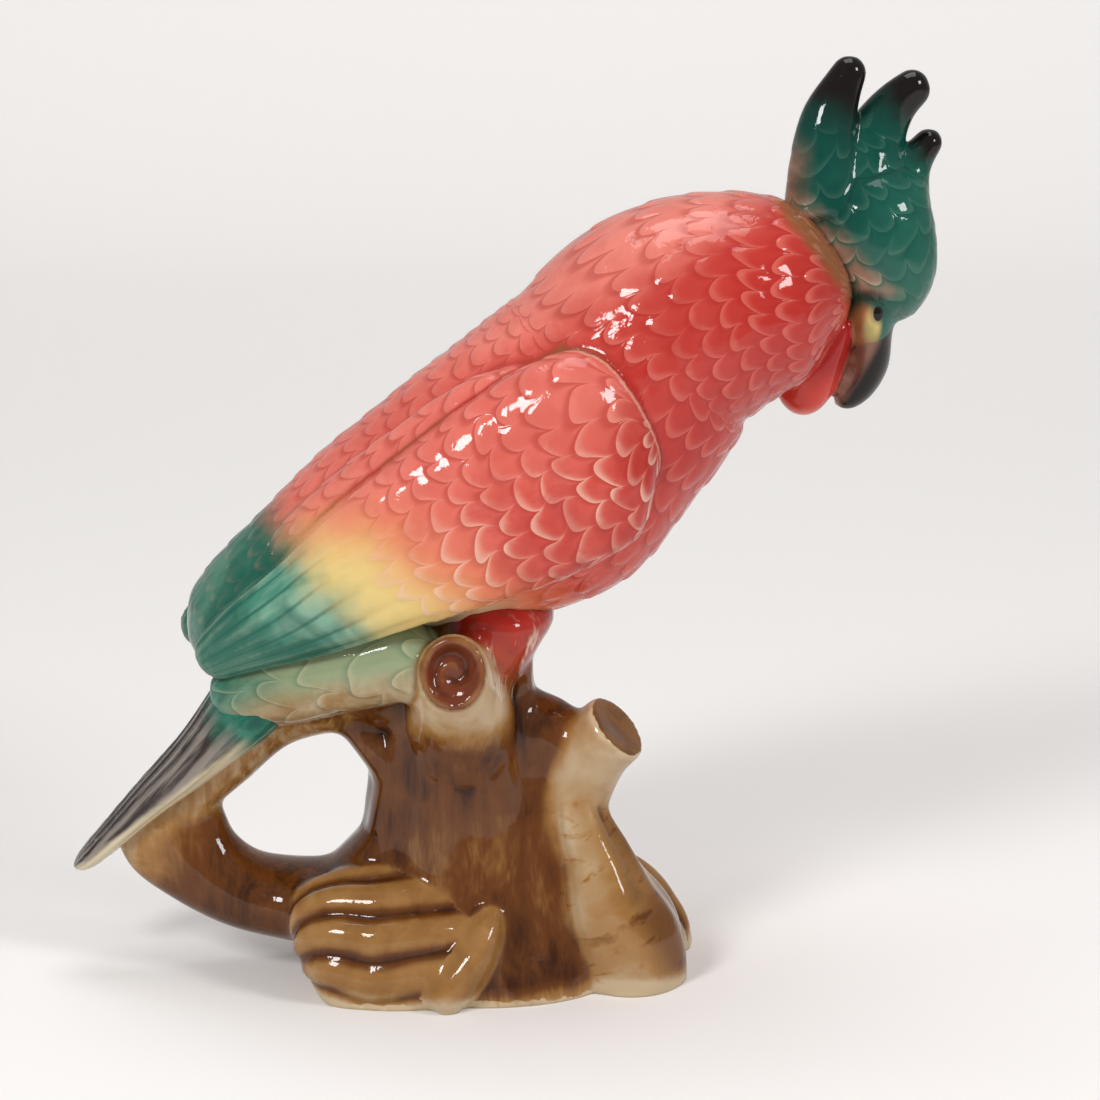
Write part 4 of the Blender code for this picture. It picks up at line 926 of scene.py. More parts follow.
def brushed_spot():
    """mask = smooth fall, over Softness, of the distance from Centre measured in Radii."""
    wires, have, give = new_group("brushed_spot", [
        ("Centre", (0.0, 0.0, 0.0)), ("Radii", (0.01, 0.01, 0.01)), ("Softness", 0.4),
        ("Wobble", 0.3)], ["Mask"])
    place = wires.place()
    away = wires.vector("SUBTRACT", place, have["Centre"]).outputs[0]
    away = wires.vector("DIVIDE", away, have["Radii"]).outputs[0]
    size = wires.vector("LENGTH", away).outputs["Value"]
    sway = wires.less(wires.noise(place, WOBBLE_SCALE, 3.0), 0.5)
    size = wires.math("ADD", size, wires.times(sway, have["Wobble"]))
    low = wires.less(1.0, have["Softness"])
    high = wires.math("ADD", 1.0, have["Softness"])
    wires.tree.links.new(wires.ease(size, low, high, 1.0, 0.0), give["Mask"])


def feather_marks():
    """From the stored row u and place across v of a feather, as in feathers(): rest is the way
    to its free edge and past the way from the edge that covers it, both in rows.
    rim = exp(-(rest / width)^2), groove = exp(-(past / width)^2), vane = the line where v is
    whole, height = the rise towards the free edge with the bulge across, less the groove."""
    wires, have, give = new_group("feather_marks", [("Rim Width", 0.10), ("Groove Width", 0.16)],
                                  ["Rim", "Groove", "Body", "Vane", "Height"])
    u = wires.value("row")
    v = wires.turn_share()
    row = wires.math("FLOOR", u)
    part = wires.less(u, row)
    shift = wires.times(wires.math("MODULO", row, 2.0), 0.5)

    def end_of(offset):
        c = wires.less(wires.math("FRACT", wires.math("ADD", v, offset)), 0.5)
        inside = wires.math("SUBTRACT", 1.0, wires.times(wires.times(c, c), 4.0), clamp=True)
        return wires.math("SQRT", inside)

    def bell(value, width):
        share = wires.math("DIVIDE", value, width)
        return wires.math("EXPONENT", wires.times(wires.times(share, share), -1.0))

    own, other = end_of(shift), end_of(wires.math("ADD", shift, 0.5))
    other_end, own_end = wires.times(other, LAP), wires.times(own, LAP)
    over = wires.math("LESS_THAN", part, other_end)
    before = wires.less(part, other_end)
    since_own = wires.less(wires.math("ADD", part, 1.0), own_end)
    rest = wires.pick(over, wires.less(other_end, part),
                      wires.less(wires.math("ADD", own_end, 1.0), part))
    past = wires.pick(over, since_own, wires.math("MINIMUM", before, since_own))
    body = wires.pick(over, other, own)
    covered = wires.value("covered")
    rim = wires.times(bell(rest, have["Rim Width"]), covered)
    groove = wires.times(bell(past, have["Groove Width"]), covered)
    slope = wires.times(wires.ease(rest, 1.5, 0.0), 0.8)
    height = wires.math("ADD", slope, wires.times(body, 0.45))
    height = wires.less(height, wires.times(groove, 0.35))
    apart = wires.math("ABSOLUTE", wires.less(wires.math("FRACT", v), 0.5))
    vane = wires.times(wires.ease(apart, 0.36, 0.48), wires.less(1.0, covered))
    for label, value in (("Rim", rim), ("Groove", groove), ("Body", wires.times(body, covered)),
                         ("Vane", vane), ("Height", wires.times(height, covered))):
        wires.tree.links.new(value, give[label])


def glaze_flow_and_shade():
    """pool = where the surface dips closely, thin = where it ridges, deep = where it dips broadly, the
    close dips made uneven by a noise. Pool and deep mark glaze pooled in the hollows and also the
    painted shade that falls in them."""
    wires, have, give = new_group("glaze_flow_and_shade", [("Wide Gain", 1.0)], ["Pool", "Thin", "Deep"])
    uneven = wires.ease(wires.noise(wires.place(), 140.0, 3.0), 0.3, 0.7, 0.75, 1.25)
    dip = wires.times(wires.value("dip"), uneven)
    wide = wires.times(wires.value("wide_dip"), have["Wide Gain"])
    # pool and deep: pooled glaze and painted shade in close and broad dips
    wires.tree.links.new(wires.ease(dip, 0.01, 0.12), give["Pool"])
    wires.tree.links.new(wires.ease(dip, -0.02, -0.14), give["Thin"])
    wires.tree.links.new(wires.ease(wide, 0.004, 0.05), give["Deep"])


def spray_mottle():
    """cloud = slow drifts of sprayed colour, speckle = the fine grain that spraying leaves."""
    wires, have, give = new_group("spray_mottle", [("Cloud Scale", 30.0)], ["Cloud", "Speckle"])
    place = wires.place()
    cloud = wires.noise(place, have["Cloud Scale"], 4.0, 0.55, 0.4)
    wires.tree.links.new(wires.ease(cloud, 0.32, 0.68), give["Cloud"])
    speckle = wires.noise(place, 900.0, 2.0, 0.7)
    wires.tree.links.new(wires.ease(speckle, 0.45, 0.75), give["Speckle"])


def glaze_skin():
    """height = slow waves of the fired glaze plus a little fine orange peel."""
    wires, have, give = new_group("glaze_skin", [("Wave Scale", 55.0)], ["Height"])
    place = wires.place()
    wave = wires.noise(place, have["Wave Scale"], 2.0, 0.4)
    peel = wires.times(wires.noise(place, 520.0, 2.0, 0.5), 0.2)
    wires.tree.links.new(wires.math("ADD", wave, peel), give["Height"])


def make_groups():
    """The effects that the glazes share. Each puts out masks or a height, never a shader."""
    for make in (brushed_zone, brushed_spot, feather_marks, glaze_flow_and_shade, spray_mottle, glaze_skin):
        make()


def tone(red, green, blue):
    """A colour written as 8-bit screen values, in the linear numbers that a shader takes."""
    share = np.array([red, green, blue]) / 255.0
    return tuple(np.where(share <= 0.04045, share / 12.92, ((share + 0.055) / 1.055) ** 2.4).tolist())


class FIGURINE_PG_glaze(bpy.types.PropertyGroup):
    coral: colour("Coral", "The body's red", tone(206, 64, 52))
    # Salmon also paints the highlight along the top of the back.
    salmon: colour("Salmon", "The red where the glaze lies thin", tone(234, 138, 122))
    # Deep red also paints the shade in the feathers' grooves, in the hollows and beside the wings.
    deep_red: colour("Deep red", "The red where the glaze pools", tone(168, 36, 32))
    cream: colour("Cream", "Bare rims of the feathers", tone(236, 204, 178))
    yellow: colour("Yellow", "The band across the wing", tone(228, 200, 126))
    orange: colour("Orange", "Where the yellow meets the red", tone(232, 142, 92))
    teal: colour("Teal", "Wing tips", tone(66, 134, 112))
    # Deep teal also paints the shade in the hollows and grooves of the teal feathers.
    deep_teal: colour("Deep teal", "Teal where the glaze pools", tone(6, 84, 68))
    pale_teal: colour("Pale teal", "Teal where the glaze lies thin", tone(128, 172, 148))
    sage: colour("Sage", "The coverts where the teal runs out", tone(150, 158, 120))
    crest: colour("Crest", "The crest's green", tone(0, 66, 56))
    crest_light: colour("Light crest", "The crest's green where it thins", tone(50, 118, 98))
    blush: colour("Blush", "The pinkish brown edges of the head", tone(190, 138, 116))
    # Soot also paints the shade in the tail's hollows.
    soot: colour("Soot", "Plume tips and beak", tone(20, 13, 10))
    olive: colour("Olive", "The brownish green at the collar and in hollows", tone(94, 112, 62))
    vane_dark: colour("Dark vane", "Dark stripes of the tail", tone(50, 42, 40))
    vane_pale: colour("Pale vane", "Pale stripes of the tail", tone(142, 132, 122))
    ivory: colour("Ivory", "The tail's pale edge", tone(222, 208, 176))
    # Dark bark also paints the shade in the hollows and between the root's rolls.
    bark_dark: colour("Dark bark", "Bark in the hollows", tone(50, 22, 5))
    bark_brown: colour("Brown bark", "The bark's brown", tone(100, 56, 21))
    # Gold also paints the highlights on the crests of the root's rolls and at the beak's tip.
    gold: colour("Gold", "The brown glaze where it thins", tone(160, 116, 64))
    wood_pale: colour("Pale wood", "The lights of the branches", tone(200, 178, 144))
    knot_red: colour("Knot red", "The red brown of the knot's face", tone(112, 54, 32))


def glaze(name, base, wave_strength=0.25):
    """A fired glaze over paint: smooth, with gentle waves and a bump for the finest relief.
    base(wires) gives the colour, the number of waves per metre and that relief."""
    material = bpy.data.materials.get(name) or bpy.data.materials.new(name)
    material.use_nodes = True
    wires = Wires(material.node_tree)
    colour_out, wave_scale, relief = base(wires)
    waves = wires.group("glaze_skin", {"Wave Scale": wave_scale})["Height"]
    normal = wires.node("ShaderNodeBump", {"Strength": wave_strength, "Distance": 0.0006,
                                           "Height": waves})
    if relief is not None:
        normal = wires.node("ShaderNodeBump", {"Strength": 0.6, "Distance": 0.0005, "Height": relief,
                                               "Normal": normal.outputs["Normal"]})
    speckle = wires.group("spray_mottle")["Speckle"]
    shader = wires.node("ShaderNodeBsdfPrincipled", {
        "Base Color": colour_out, "Roughness": wires.ease(speckle, 0.0, 1.0, 0.05, 0.10),
        "Normal": normal.outputs["Normal"], "IOR": 1.42})
    wires.node("ShaderNodeOutputMaterial", {"Surface": shader.outputs["BSDF"]})
    return material


def pots(scene):
    """The glaze colours by name, with an alpha of 1."""
    glazes = scene.figurine_glaze
    return {key: (*getattr(glazes, key), 1.0) for key in FIGURINE_PG_glaze.__annotations__}


class Bearings:
    """Directions of the bird's back and how far along them the rump lies, for painted zones."""

    def __init__(self, scene):
        torso = figurine_axes(scene)["torso"]
        self.start, self.along, self.rise = torso.start + SEAT, torso.along, torso.rise

    def zone(self, wires, tilt, low, high, wobble=0.004):
        """Mask that grows from low to high metres along the back, leaning by tilt upwards."""
        return self.reach(wires, self.along + tilt * self.rise, low, high, wobble)

    def height(self, wires, low, high, wobble=0.004):
        """Mask that grows from low to high metres above the line from rump to neck."""
        return self.reach(wires, self.rise, low, high, wobble)

    def reach(self, wires, direction, low, high, wobble):
        """Mask that grows along a direction, from low to high metres past the rump."""
        offset = float(self.start @ direction)
        return plane_zone(wires, tuple(direction), offset + low, offset + high, wobble)


def plane_zone(wires, direction, low, high, wobble=0.004):
    """Mask that grows from low to high along a direction, with a wobbling edge."""
    return wires.group("brushed_zone", {"Direction": direction, "From": low, "To": high,
                                        "Wobble": wobble})["Mask"]


def spot(wires, centre, radii, softness=0.4, wobble=0.3):
    """Mask of one round spot with a wobbling, soft edge."""
    return wires.group("brushed_spot", {"Centre": centre, "Radii": radii, "Softness": softness,
                                        "Wobble": wobble})["Mask"]


# The way that the collar faces and how far along it the collar lies.
COLLAR = (0.81, 0.0, 0.58)
COLLAR_AT = 0.2186
UP = (0.0, 0.0, 1.0)
FORWARD = (1.0, 0.0, 0.0)


class Coat:
    """Paint in layers over a first colour. A colour is the name of a pot, a wired one or a coat."""

    def __init__(self, wires, pot, first):
        self.wires, self.pot = wires, pot
        self.colour = self.wired(first)

    def wired(self, colour):
        """The colour that a shader takes."""
        if isinstance(colour, Coat):
            return colour.colour
        return self.pot[colour] if isinstance(colour, str) else colour

    def lay(self, colour, share, strength=None):
        """Cover the coat with a colour where share is 1, at most by strength."""
        if strength is not None:
            share = self.wires.times(share, strength)
        self.colour = self.wires.mix(share, self.colour, self.wired(colour))
        return self


def teal_vanes(wires, pot, back, marks, flow, cloud):
    """Teal streaked along the wing, darker at its lower edge, on the far side and in grooves."""
    streak = wires.streaks(back.along, back.rise, 14.0, 95.0)
    green = Coat(wires, pot, "pale_teal").lay("teal", wires.ease(streak, 0.38, 0.62))
    green.lay("deep_teal", wires.ease(cloud, 0.40, 0.95, 0.0, 0.75))
    far_side = plane_zone(wires, (0.0, 1.0, 0.0), -0.004, 0.004)
    green.lay("deep_teal", far_side, 0.90)
    green.lay("deep_teal", wires.ease(wires.value("wing"), 0.50, 0.20, 0.0, 0.60))
    green.lay("deep_teal", marks["Vane"], 0.55)
    # pooled glaze and painted shade: deep teal in the hollows
    green.lay("deep_teal", flow["Pool"], 0.80)
    green.lay("pale_teal", flow["Thin"], 0.50)
    return green


def low_wing(wires, back):
    """Mask of the lower half of both wings."""
    return wires.times(back.height(wires, 0.022, -0.010, 0.012),
                       wires.ease(wires.value("wing"), 0.4, 0.8))


def beside_wing(wires):
    """Mask of the body just beside a wing's outline."""
    wing = wires.value("wing")
    return wires.times(wires.ease(wing, 0.03, 0.30), wires.ease(wing, 0.62, 0.40))


def red_feathers(wires, pot, back, marks, flow, cloud, patch):
    """Coral, darker on the chest, with pooled glaze and painted shade in the grooves and hollows and
    painted shade beside the wings, paler on the rear, the shoulders and the upper edge of the wings,
    and paler on the top as a painted highlight."""
    wing, shoulder = wires.value("wing"), wires.value("shoulder")
    chest = back.zone(wires, -0.30, 0.120, 0.185, 0.016)
    rear = back.zone(wires, 0.0, 0.125, 0.060, 0.016)
    # painted highlight: salmon along the top of the back, where the light falls
    top = back.height(wires, 0.034, 0.050, 0.010)
    red = Coat(wires, pot, "coral").lay("salmon", cloud, 0.25)
    red.lay("salmon", rear, 0.50)
    red.lay("deep_red", chest, 0.60)
    red.lay("salmon", top, 0.85)
    upper_wing = wires.times(wires.ease(wing, 0.4, 0.8), back.height(wires, -0.012, 0.030, 0.012))
    red.lay("salmon", upper_wing, 0.50)
    red.lay("salmon", wires.ease(shoulder, 0.4, 0.8), 0.45)
    # painted shade: deep red in the groove past each feather's edge
    shade = wires.ease(marks["Groove"], 0.0, 1.0, 0.0, 0.45)
    red.lay("deep_red", shade)
    heart = wires.times(wires.times(patch, marks["Body"]),
                        wires.ease(low_wing(wires, back), 0.0, 1.0, 0.22, 0.55))
    red.lay("deep_red", heart)
    # pooled glaze and painted shade: deep red in broad and close hollows
    red.lay("deep_red", flow["Deep"], 0.80)
    red.lay("deep_red", flow["Pool"], 0.50)
    # painted shade: deep red in the crease just beside each wing's outline
    red.lay("deep_red", beside_wing(wires), 0.70)
    return red


def wing_edges(wires, scene, back, patch, paint):
    """Lay a cream line along the wings' front edge, olive stains beside their upper edge and an
    ivory ledge along the near wing's lower edge."""
    wing = wires.value("wing")
    edge = wires.times(wires.ease(wing, 0.62, 0.80), wires.ease(wing, 1.0, 0.88))
    front = wires.math("MAXIMUM", back.height(wires, 0.004, -0.010),
                       back.zone(wires, 0.5, 0.150, 0.166))
    paint.lay("cream", wires.times(edge, front), 0.35)
    upper = wires.times(wires.times(beside_wing(wires), wires.less(1.0, front)),
                        wires.ease(patch, 0.4, 0.9))
    paint.lay("olive", upper, 0.35)
    near = figurine_axes(scene)["near_wing"]
    ridge = near.rise + 0.2 * near.along
    low = float((near.start + SEAT) @ ridge)
    ledge = wires.times(plane_zone(wires, tuple(ridge), low - 0.0052, low - 0.0085, 0.002),
                        back.zone(wires, 0.0, 0.110, 0.080))
    paint.lay("ivory", ledge, 0.75)


def coral_feathers(wires, scene):
    """Red feathers with pale rims, paler wings, a yellow band, teal tips and an olive collar."""
    pot, back = pots(scene), Bearings(scene)
    flow = wires.group("glaze_flow_and_shade")
    marks = wires.group("feather_marks", {"Rim Width": 0.22, "Groove Width": 0.24})
    cloud = wires.group("spray_mottle", {"Cloud Scale": 24.0})["Cloud"]
    patch = wires.group("spray_mottle", {"Cloud Scale": 70.0})["Cloud"]
    clear = wires.ease(wires.times(cloud, patch), 0.05, 0.60, 1.0, 0.35)
    rims = wires.times(marks["Rim"], clear)

    orange = wires.times(back.zone(wires, 0.45, 0.112, 0.074, 0.014), back.height(wires, 0.036, 0.010))
    paint = red_feathers(wires, pot, back, marks, flow, cloud, patch).lay("orange", orange, 0.75)
    yellow = wires.times(back.zone(wires, 0.45, 0.094, 0.066, 0.012), back.height(wires, 0.032, 0.010))
    paint.lay("yellow", yellow)
    teal_share = back.zone(wires, 0.30, 0.068, 0.046, 0.016)
    paint.lay(teal_vanes(wires, pot, back, marks, flow, cloud), teal_share)

    fade = wires.ease(teal_share, 0.0, 1.0, 1.0, 0.25)
    paint.lay("salmon", wires.times(wires.times(rims, 0.34), fade))
    rim = wires.times(wires.times(rims, low_wing(wires, back)), 0.60)
    paint.lay("cream", wires.times(rim, fade))
    paint.lay("cream", flow["Thin"], 0.25)
    wing_edges(wires, scene, back, patch, paint)
    collar = plane_zone(wires, COLLAR, COLLAR_AT - 0.0030, COLLAR_AT + 0.0010, 0.005)
    hollows = spot(wires, (0.0245, 0.0, 0.2155), (0.020, 0.060, 0.009), 0.6)
    stain = wires.math("MAXIMUM", wires.times(collar, 0.50), wires.times(hollows, flow["Pool"]))
    paint.lay("olive", stain)
    return paint.colour, 48.0, wires.times(marks["Height"], clear)


def crest_scales(wires, pot, marks, flow, cloud):
    """Green feathers, lighter to the front, with pinkish scales at the nape and a pinkish edge."""
    front = plane_zone(wires, (0.94, 0.0, -0.35), 0.010, 0.052, 0.010)
    green = Coat(wires, pot, "crest").lay("crest_light", cloud, 0.15)
    green.lay("crest_light", front, 0.50)
    green.lay("pale_teal", marks["Rim"], 0.10)
    # painted shade: darker green in the grooves past the feathers' edges
    green.lay("crest", marks["Groove"], 0.35)
    green.lay("pale_teal", flow["Thin"], 0.30)
    # pooled glaze and painted shade: dark green in the hollows
    green.lay("crest", flow["Pool"], 0.6)
    pale = Coat(wires, pot, "blush").lay("crest_light", marks["Groove"], 0.8)
    pale.lay("cream", marks["Rim"], 0.6)
    scales = wires.times(plane_zone(wires, (-0.72, 0.0, -0.70), -0.2500, -0.2400, 0.008),
                         plane_zone(wires, UP, 0.2220, 0.2290, 0.004))
    paint = Coat(wires, pot, green).lay(pale, scales, 0.95)
    back_edge = plane_zone(wires, (-0.92, 0.0, 0.10), -0.0650, -0.0560, 0.004)
    low_edge = wires.times(back_edge, plane_zone(wires, UP, 0.276, 0.262, 0.006))
    paint.lay(Coat(wires, pot, "blush").lay("knot_red", cloud), low_edge, 0.70)
    return paint


# The spots round each eye: colour, how far forward and up, half width and height, strength.
FACE_SPOTS = (("orange", (-0.0054, -0.0052), (0.0050, 0.0070), 0.95),
              ("coral", (-0.0068, -0.0078), (0.0036, 0.0050), 0.80),
              ("yellow", (-0.0018, -0.0044), (0.0026, 0.0052), 0.95),
              ("soot", (-0.0018, 0.0058), (0.0036, 0.0022), 0.60))


def by_eyes(wires, eyes, place, size, softness=0.5, wobble=0.3):
    """Mask of one spot beside each eye, place being how far forward and up from the eye and
    size its half width and height."""
    reach, radii = np.array([place[0], 0.0, place[1]]) + SEAT, (size[0], 0.012, size[1])
    sides = [spot(wires, tuple(eyes.at(end) + reach), radii, softness, wobble)
             for end in (0.0, 1.0)]
    return wires.math("MAXIMUM", *sides)


def beak_and_throat(wires, pot, flow, cloud, paint):
    """Lay the red throat, the brown lower bill and the dark beak, with a painted pink highlight on
    its inner side and a painted gold highlight at its tip.
    """
    throat = wires.ease(wires.value("throat"), 0.35, 0.65)
    lobe = Coat(wires, pot, "coral").lay("deep_red", plane_zone(wires, UP, 0.192, 0.204, 0.008))
    lobe.lay("salmon", plane_zone(wires, UP, 0.188, 0.183, 0.004))
    paint.lay(lobe, throat)
    bill = wires.ease(wires.value("bill"), 0.35, 0.65)
    # pooled glaze and painted shade, with mottle: the lower bill darker in its hollows
    pooled_and_shaded = wires.math("ADD", flow["Pool"], cloud, clamp=True)
    paint.lay(Coat(wires, pot, "blush").lay("knot_red", pooled_and_shaded), bill)
    beak = wires.ease(wires.value("beak"), 0.35, 0.65)
    # painted highlight: pinkish blush on the beak's inner side
    inner = plane_zone(wires, (0.90, 0.0, -0.44), 0.0176, 0.0140, 0.003)
    horn = Coat(wires, pot, "soot").lay("blush", inner, 0.50)
    # painted highlight: gold at the beak's tip
    tip_highlight = plane_zone(wires, UP, 0.1850, 0.1815, 0.003)
    horn.lay("gold", tip_highlight, 0.7)
    paint.lay(horn, beak)


def crest_feathers(wires, scene):
    """Green crest with dark plume tips, pinkish edges, a yellow cheek, a dark eye and beak."""
    pot = pots(scene)
    flow = wires.group("glaze_flow_and_shade")
    marks = wires.group("feather_marks", {"Rim Width": 0.20, "Groove Width": 0.26})
    cloud = wires.group("spray_mottle", {"Cloud Scale": 60.0})["Cloud"]
    eyes = figurine_axes(scene)["eyes"]
    paint = crest_scales(wires, pot, marks, flow, cloud)
    for colour, place, size, strength in FACE_SPOTS:
        paint.lay(colour, by_eyes(wires, eyes, place, size), strength)
    collar = plane_zone(wires, COLLAR, COLLAR_AT + 0.004, COLLAR_AT - 0.002, 0.005)
    paint.lay("olive", collar, 0.55)
    beak_and_throat(wires, pot, flow, cloud, paint)
    along = wires.math("ADD", wires.value("along"), wires.times(wires.less(cloud, 0.5), 0.15))
    plume = wires.times(wires.value("plume"), wires.ease(along, 0.38, 0.78))
    paint.lay("soot", plume)
    ring = by_eyes(wires, eyes, (0.0, 0.0), (0.0026, 0.0036), 0.3, 0.0)
    paint.lay("crest", ring, 0.45)
    eye = by_eyes(wires, eyes, (0.0, 0.0), (0.0016, 0.0025), 0.12, 0.0)
    paint.lay("soot", eye)
    return paint.colour, 60.0, wires.times(marks["Height"], 0.6)


def striped_tail(wires, scene):
    """Dark and pale stripes along the tail's vanes, teal at its root, ivory at its lower edge."""
    pot = pots(scene)
    flow = wires.group("glaze_flow_and_shade")
    cloud = wires.group("spray_mottle", {"Cloud Scale": 70.0})["Cloud"]
    tail = figurine_axes(scene)["tail"]
    base = tail.start + SEAT
    streak = wires.streaks(tail.along, tail.rise, 26.0, 380.0)
    vane = wires.math("PINGPONG", wires.times(wires.math("FRACT", wires.turn_share()), 2.0), 1.0)
    stripe = wires.math("ADD", wires.times(vane, 0.7), wires.times(wires.less(streak, 0.5), 1.3))
    paint = Coat(wires, pot, "vane_dark").lay("vane_pale", wires.ease(stripe, 0.00, 0.62))
    # pooled glaze and painted shade: soot in the tail's hollows
    paint.lay("soot", flow["Pool"], 0.8)
    slope = tail.rise + 0.035 * tail.along
    edge, root = float(base @ slope), float(base @ tail.along)
    lower = plane_zone(wires, tuple(slope), edge + 0.0014, edge - 0.0008, 0.0010)
    paint.lay("ivory", lower, 0.95)
    under = plane_zone(wires, tuple(slope), edge - 0.0046, edge - 0.0075, 0.002)
    paint.lay("gold", under, 0.5)
    green = Coat(wires, pot, "teal").lay("deep_teal", cloud)
    teal_share = plane_zone(wires, tuple(tail.along), root + 0.066, root + 0.080, 0.012)
    paint.lay(green, teal_share)
    return paint.colour, 60.0, vane


def brown_scale(wires, pot, share):
    """Pale wood at 0, gold near a third, brown at two thirds and dark bark at 1."""
    paint = Coat(wires, pot, "wood_pale").lay("gold", wires.ease(share, 0.0, 0.40))
    paint.lay("bark_brown", wires.ease(share, 0.30, 0.72))
    return paint.lay("bark_dark", wires.ease(share, 0.68, 1.05))


def lower_coverts(wires, pot, back, marks, fine):
    """Teal lobes that turn sage towards the front and brown along their lower edge."""
    streak = wires.streaks(back.along, back.rise, 16.0, 130.0)
    lobes = Coat(wires, pot, "teal").lay("deep_teal", wires.ease(streak, 0.35, 0.65))
    cover_front = plane_zone(wires, FORWARD, -0.094, -0.062, 0.016)
    lobes.lay("sage", cover_front, 0.85)
    slope = back.rise + 0.27 * back.along
    low = float(back.start @ slope)
    wooden = wires.times(plane_zone(wires, tuple(slope), low - 0.0085, low - 0.0195, 0.006),
                         plane_zone(wires, FORWARD, -0.094, -0.070, 0.012))
    lobes.lay(Coat(wires, pot, "gold").lay("wood_pale", fine), wooden, 0.85)
    lobes.lay("ivory", marks["Rim"], 0.22)
    # painted shade: deep teal in the grooves past the coverts' edges
    lobes.lay("deep_teal", marks["Groove"], 0.30)
    return lobes


def wood_share(wires, flow, cloud, fine, upright):
    """How brown the wood is, for brown_scale(): brown on the trunk, pale on the stub and the front
    root, honey in the folds with a painted highlight on their crests and painted shade between them,
    painted shade along the lower limb's right edge, dark where the glaze pools with painted shade in
    the hollows and pale at the very foot."""
    ring = wires.ease(wires.form_noise(1.3, 2.4), 0.56, 0.74)
    brown = wires.ease(cloud, 0.0, 1.0, 0.62, 0.86)
    brown = wires.math("ADD", brown, wires.times(wires.less(upright, 0.5), 0.75))
    knot_fade = wires.math("MAXIMUM", plane_zone(wires, FORWARD, 0.004, 0.022, 0.006),
                           plane_zone(wires, UP, 0.078, 0.096, 0.012))
    beside = wires.times(plane_zone(wires, FORWARD, 0.000, 0.010),
                         plane_zone(wires, UP, 0.095, 0.080))
    brushed = wires.times(wires.less(upright, 0.5), 0.5)
    pale_from = wires.ease(beside, 0.0, 1.0, 0.20, 0.03)
    pale_to = wires.ease(beside, 0.0, 1.0, 1.0, 0.80)
    pale = wires.ease(wires.math("ADD", wires.value("pale"), brushed), pale_from, pale_to)
    pale = wires.times(pale, knot_fade)
    low_down = plane_zone(wires, UP, 0.075, 0.045, 0.010)
    light = wires.math("ADD", wires.ease(cloud, 0.0, 1.0, 0.05, 0.24), wires.times(low_down, 0.06))
    # painted shade: browner along the lower limb's right edge
    shaded_edge = wires.times(plane_zone(wires, (0.866, 0.0, 0.5), 0.044, 0.056, 0.004), low_down)
    light = wires.math("ADD", light, wires.times(shaded_edge, 0.30))
    light = wires.math("ADD", light, wires.times(wires.times(ring, low_down), 0.22))
    share = wires.pick(wires.times(pale, 0.95), light, brown)
    bridge = wires.times(wires.ease(wires.value("bridge"), 0.15, 0.80),
                         plane_zone(wires, FORWARD, -0.038, -0.056, 0.010))
    share = wires.pick(wires.times(bridge, 0.85), wires.ease(upright, 0.35, 0.65, 0.10, 0.50), share)
    prop_top = plane_zone(wires, (-0.85, 0.0, 0.5), 0.094, 0.128, 0.010)
    share = wires.pick(wires.times(prop_top, 0.85), wires.ease(fine, 0.0, 1.0, 0.10, 0.30), share)
    # painted highlight on each roll's crest and painted shade in the grooves between the rolls
    roll = wires.math("SQRT", wires.times(wires.less(1.0, wires.turn_cosine()), 0.5))
    rolls_lit_and_shaded = wires.math("ADD", wires.ease(roll, 0.0, 0.80, 0.80, 0.36), wires.times(fine, 0.12))
    honey = wires.ease(wires.value("honey"), 0.15, 0.85)
    share = wires.pick(honey, rolls_lit_and_shaded, share)
    # pooled glaze and painted shade: darker wood in broad and close hollows
    pooled_and_shaded = wires.math("ADD", wires.times(flow["Deep"], 0.40), wires.times(flow["Pool"], 0.35))
    share = wires.math("ADD", share, wires.times(pooled_and_shaded, wires.ease(honey, 0.0, 1.0, 1.0, 0.20)))
    share = wires.less(share, wires.times(flow["Thin"], 0.30))
    share = wires.less(share, wires.times(plane_zone(wires, UP, 0.008, 0.001, 0.003), 0.45))
    return share


def thigh_and_stains(wires, pot, flow, cloud, fine, upright, paint):
    """Lay the red thighs, a pale drip under them and a coral stain on the trunk's top."""
    thigh = wires.times(wires.ease(wires.value("thigh"), 0.10, 0.75),
                        plane_zone(wires, UP, 0.094, 0.124, 0.018))
    red = Coat(wires, pot, "coral").lay("deep_red", wires.ease(cloud, 0.0, 1.0, 0.45, 1.0))
    red.lay("knot_red", wires.ease(fine, 0.3, 1.0, 0.0, 0.30))
    # pooled glaze and painted shade: dark bark in the thigh's hollows
    paint.lay(red.lay("bark_dark", flow["Pool"]), thigh)
    drip = wires.times(spot(wires, (0.006, -0.026, 0.108), (0.009, 0.030, 0.015), 0.5, 0.5),
                       wires.ease(upright, 0.50, 0.60))
    paint.lay("cream", drip, 0.75)
    stain = spot(wires, (0.026, -0.014, 0.099), (0.010, 0.030, 0.005), 0.6, 0.5)
    paint.lay("coral", stain, 0.65)


def sawn_end_and_knot(wires, pot, flow, fine, paint):
    """Lay the stub's sawn end, the knot's golden rim and its red brown face."""
    cut = wires.ease(wires.value("cut"), 0.35, 0.65)
    sawn = Coat(wires, pot, "gold").lay("bark_brown", wires.ease(fine, 0.0, 1.0, 0.55, 0.85))
    paint.lay(sawn, cut)
    rim = wires.times(wires.ease(wires.value("knot_rim"), 0.02, 0.30), 0.75)
    paint.lay(Coat(wires, pot, "gold").lay("bark_brown", fine), rim)
    knot = wires.ease(wires.value("knot_face"), 0.35, 0.65)
    # pooled glaze and painted shade: dark bark in the knot face's hollows
    disc = Coat(wires, pot, "knot_red").lay("bark_dark", flow["Pool"])
    paint.lay(disc.lay("gold", flow["Thin"], 0.6), knot)


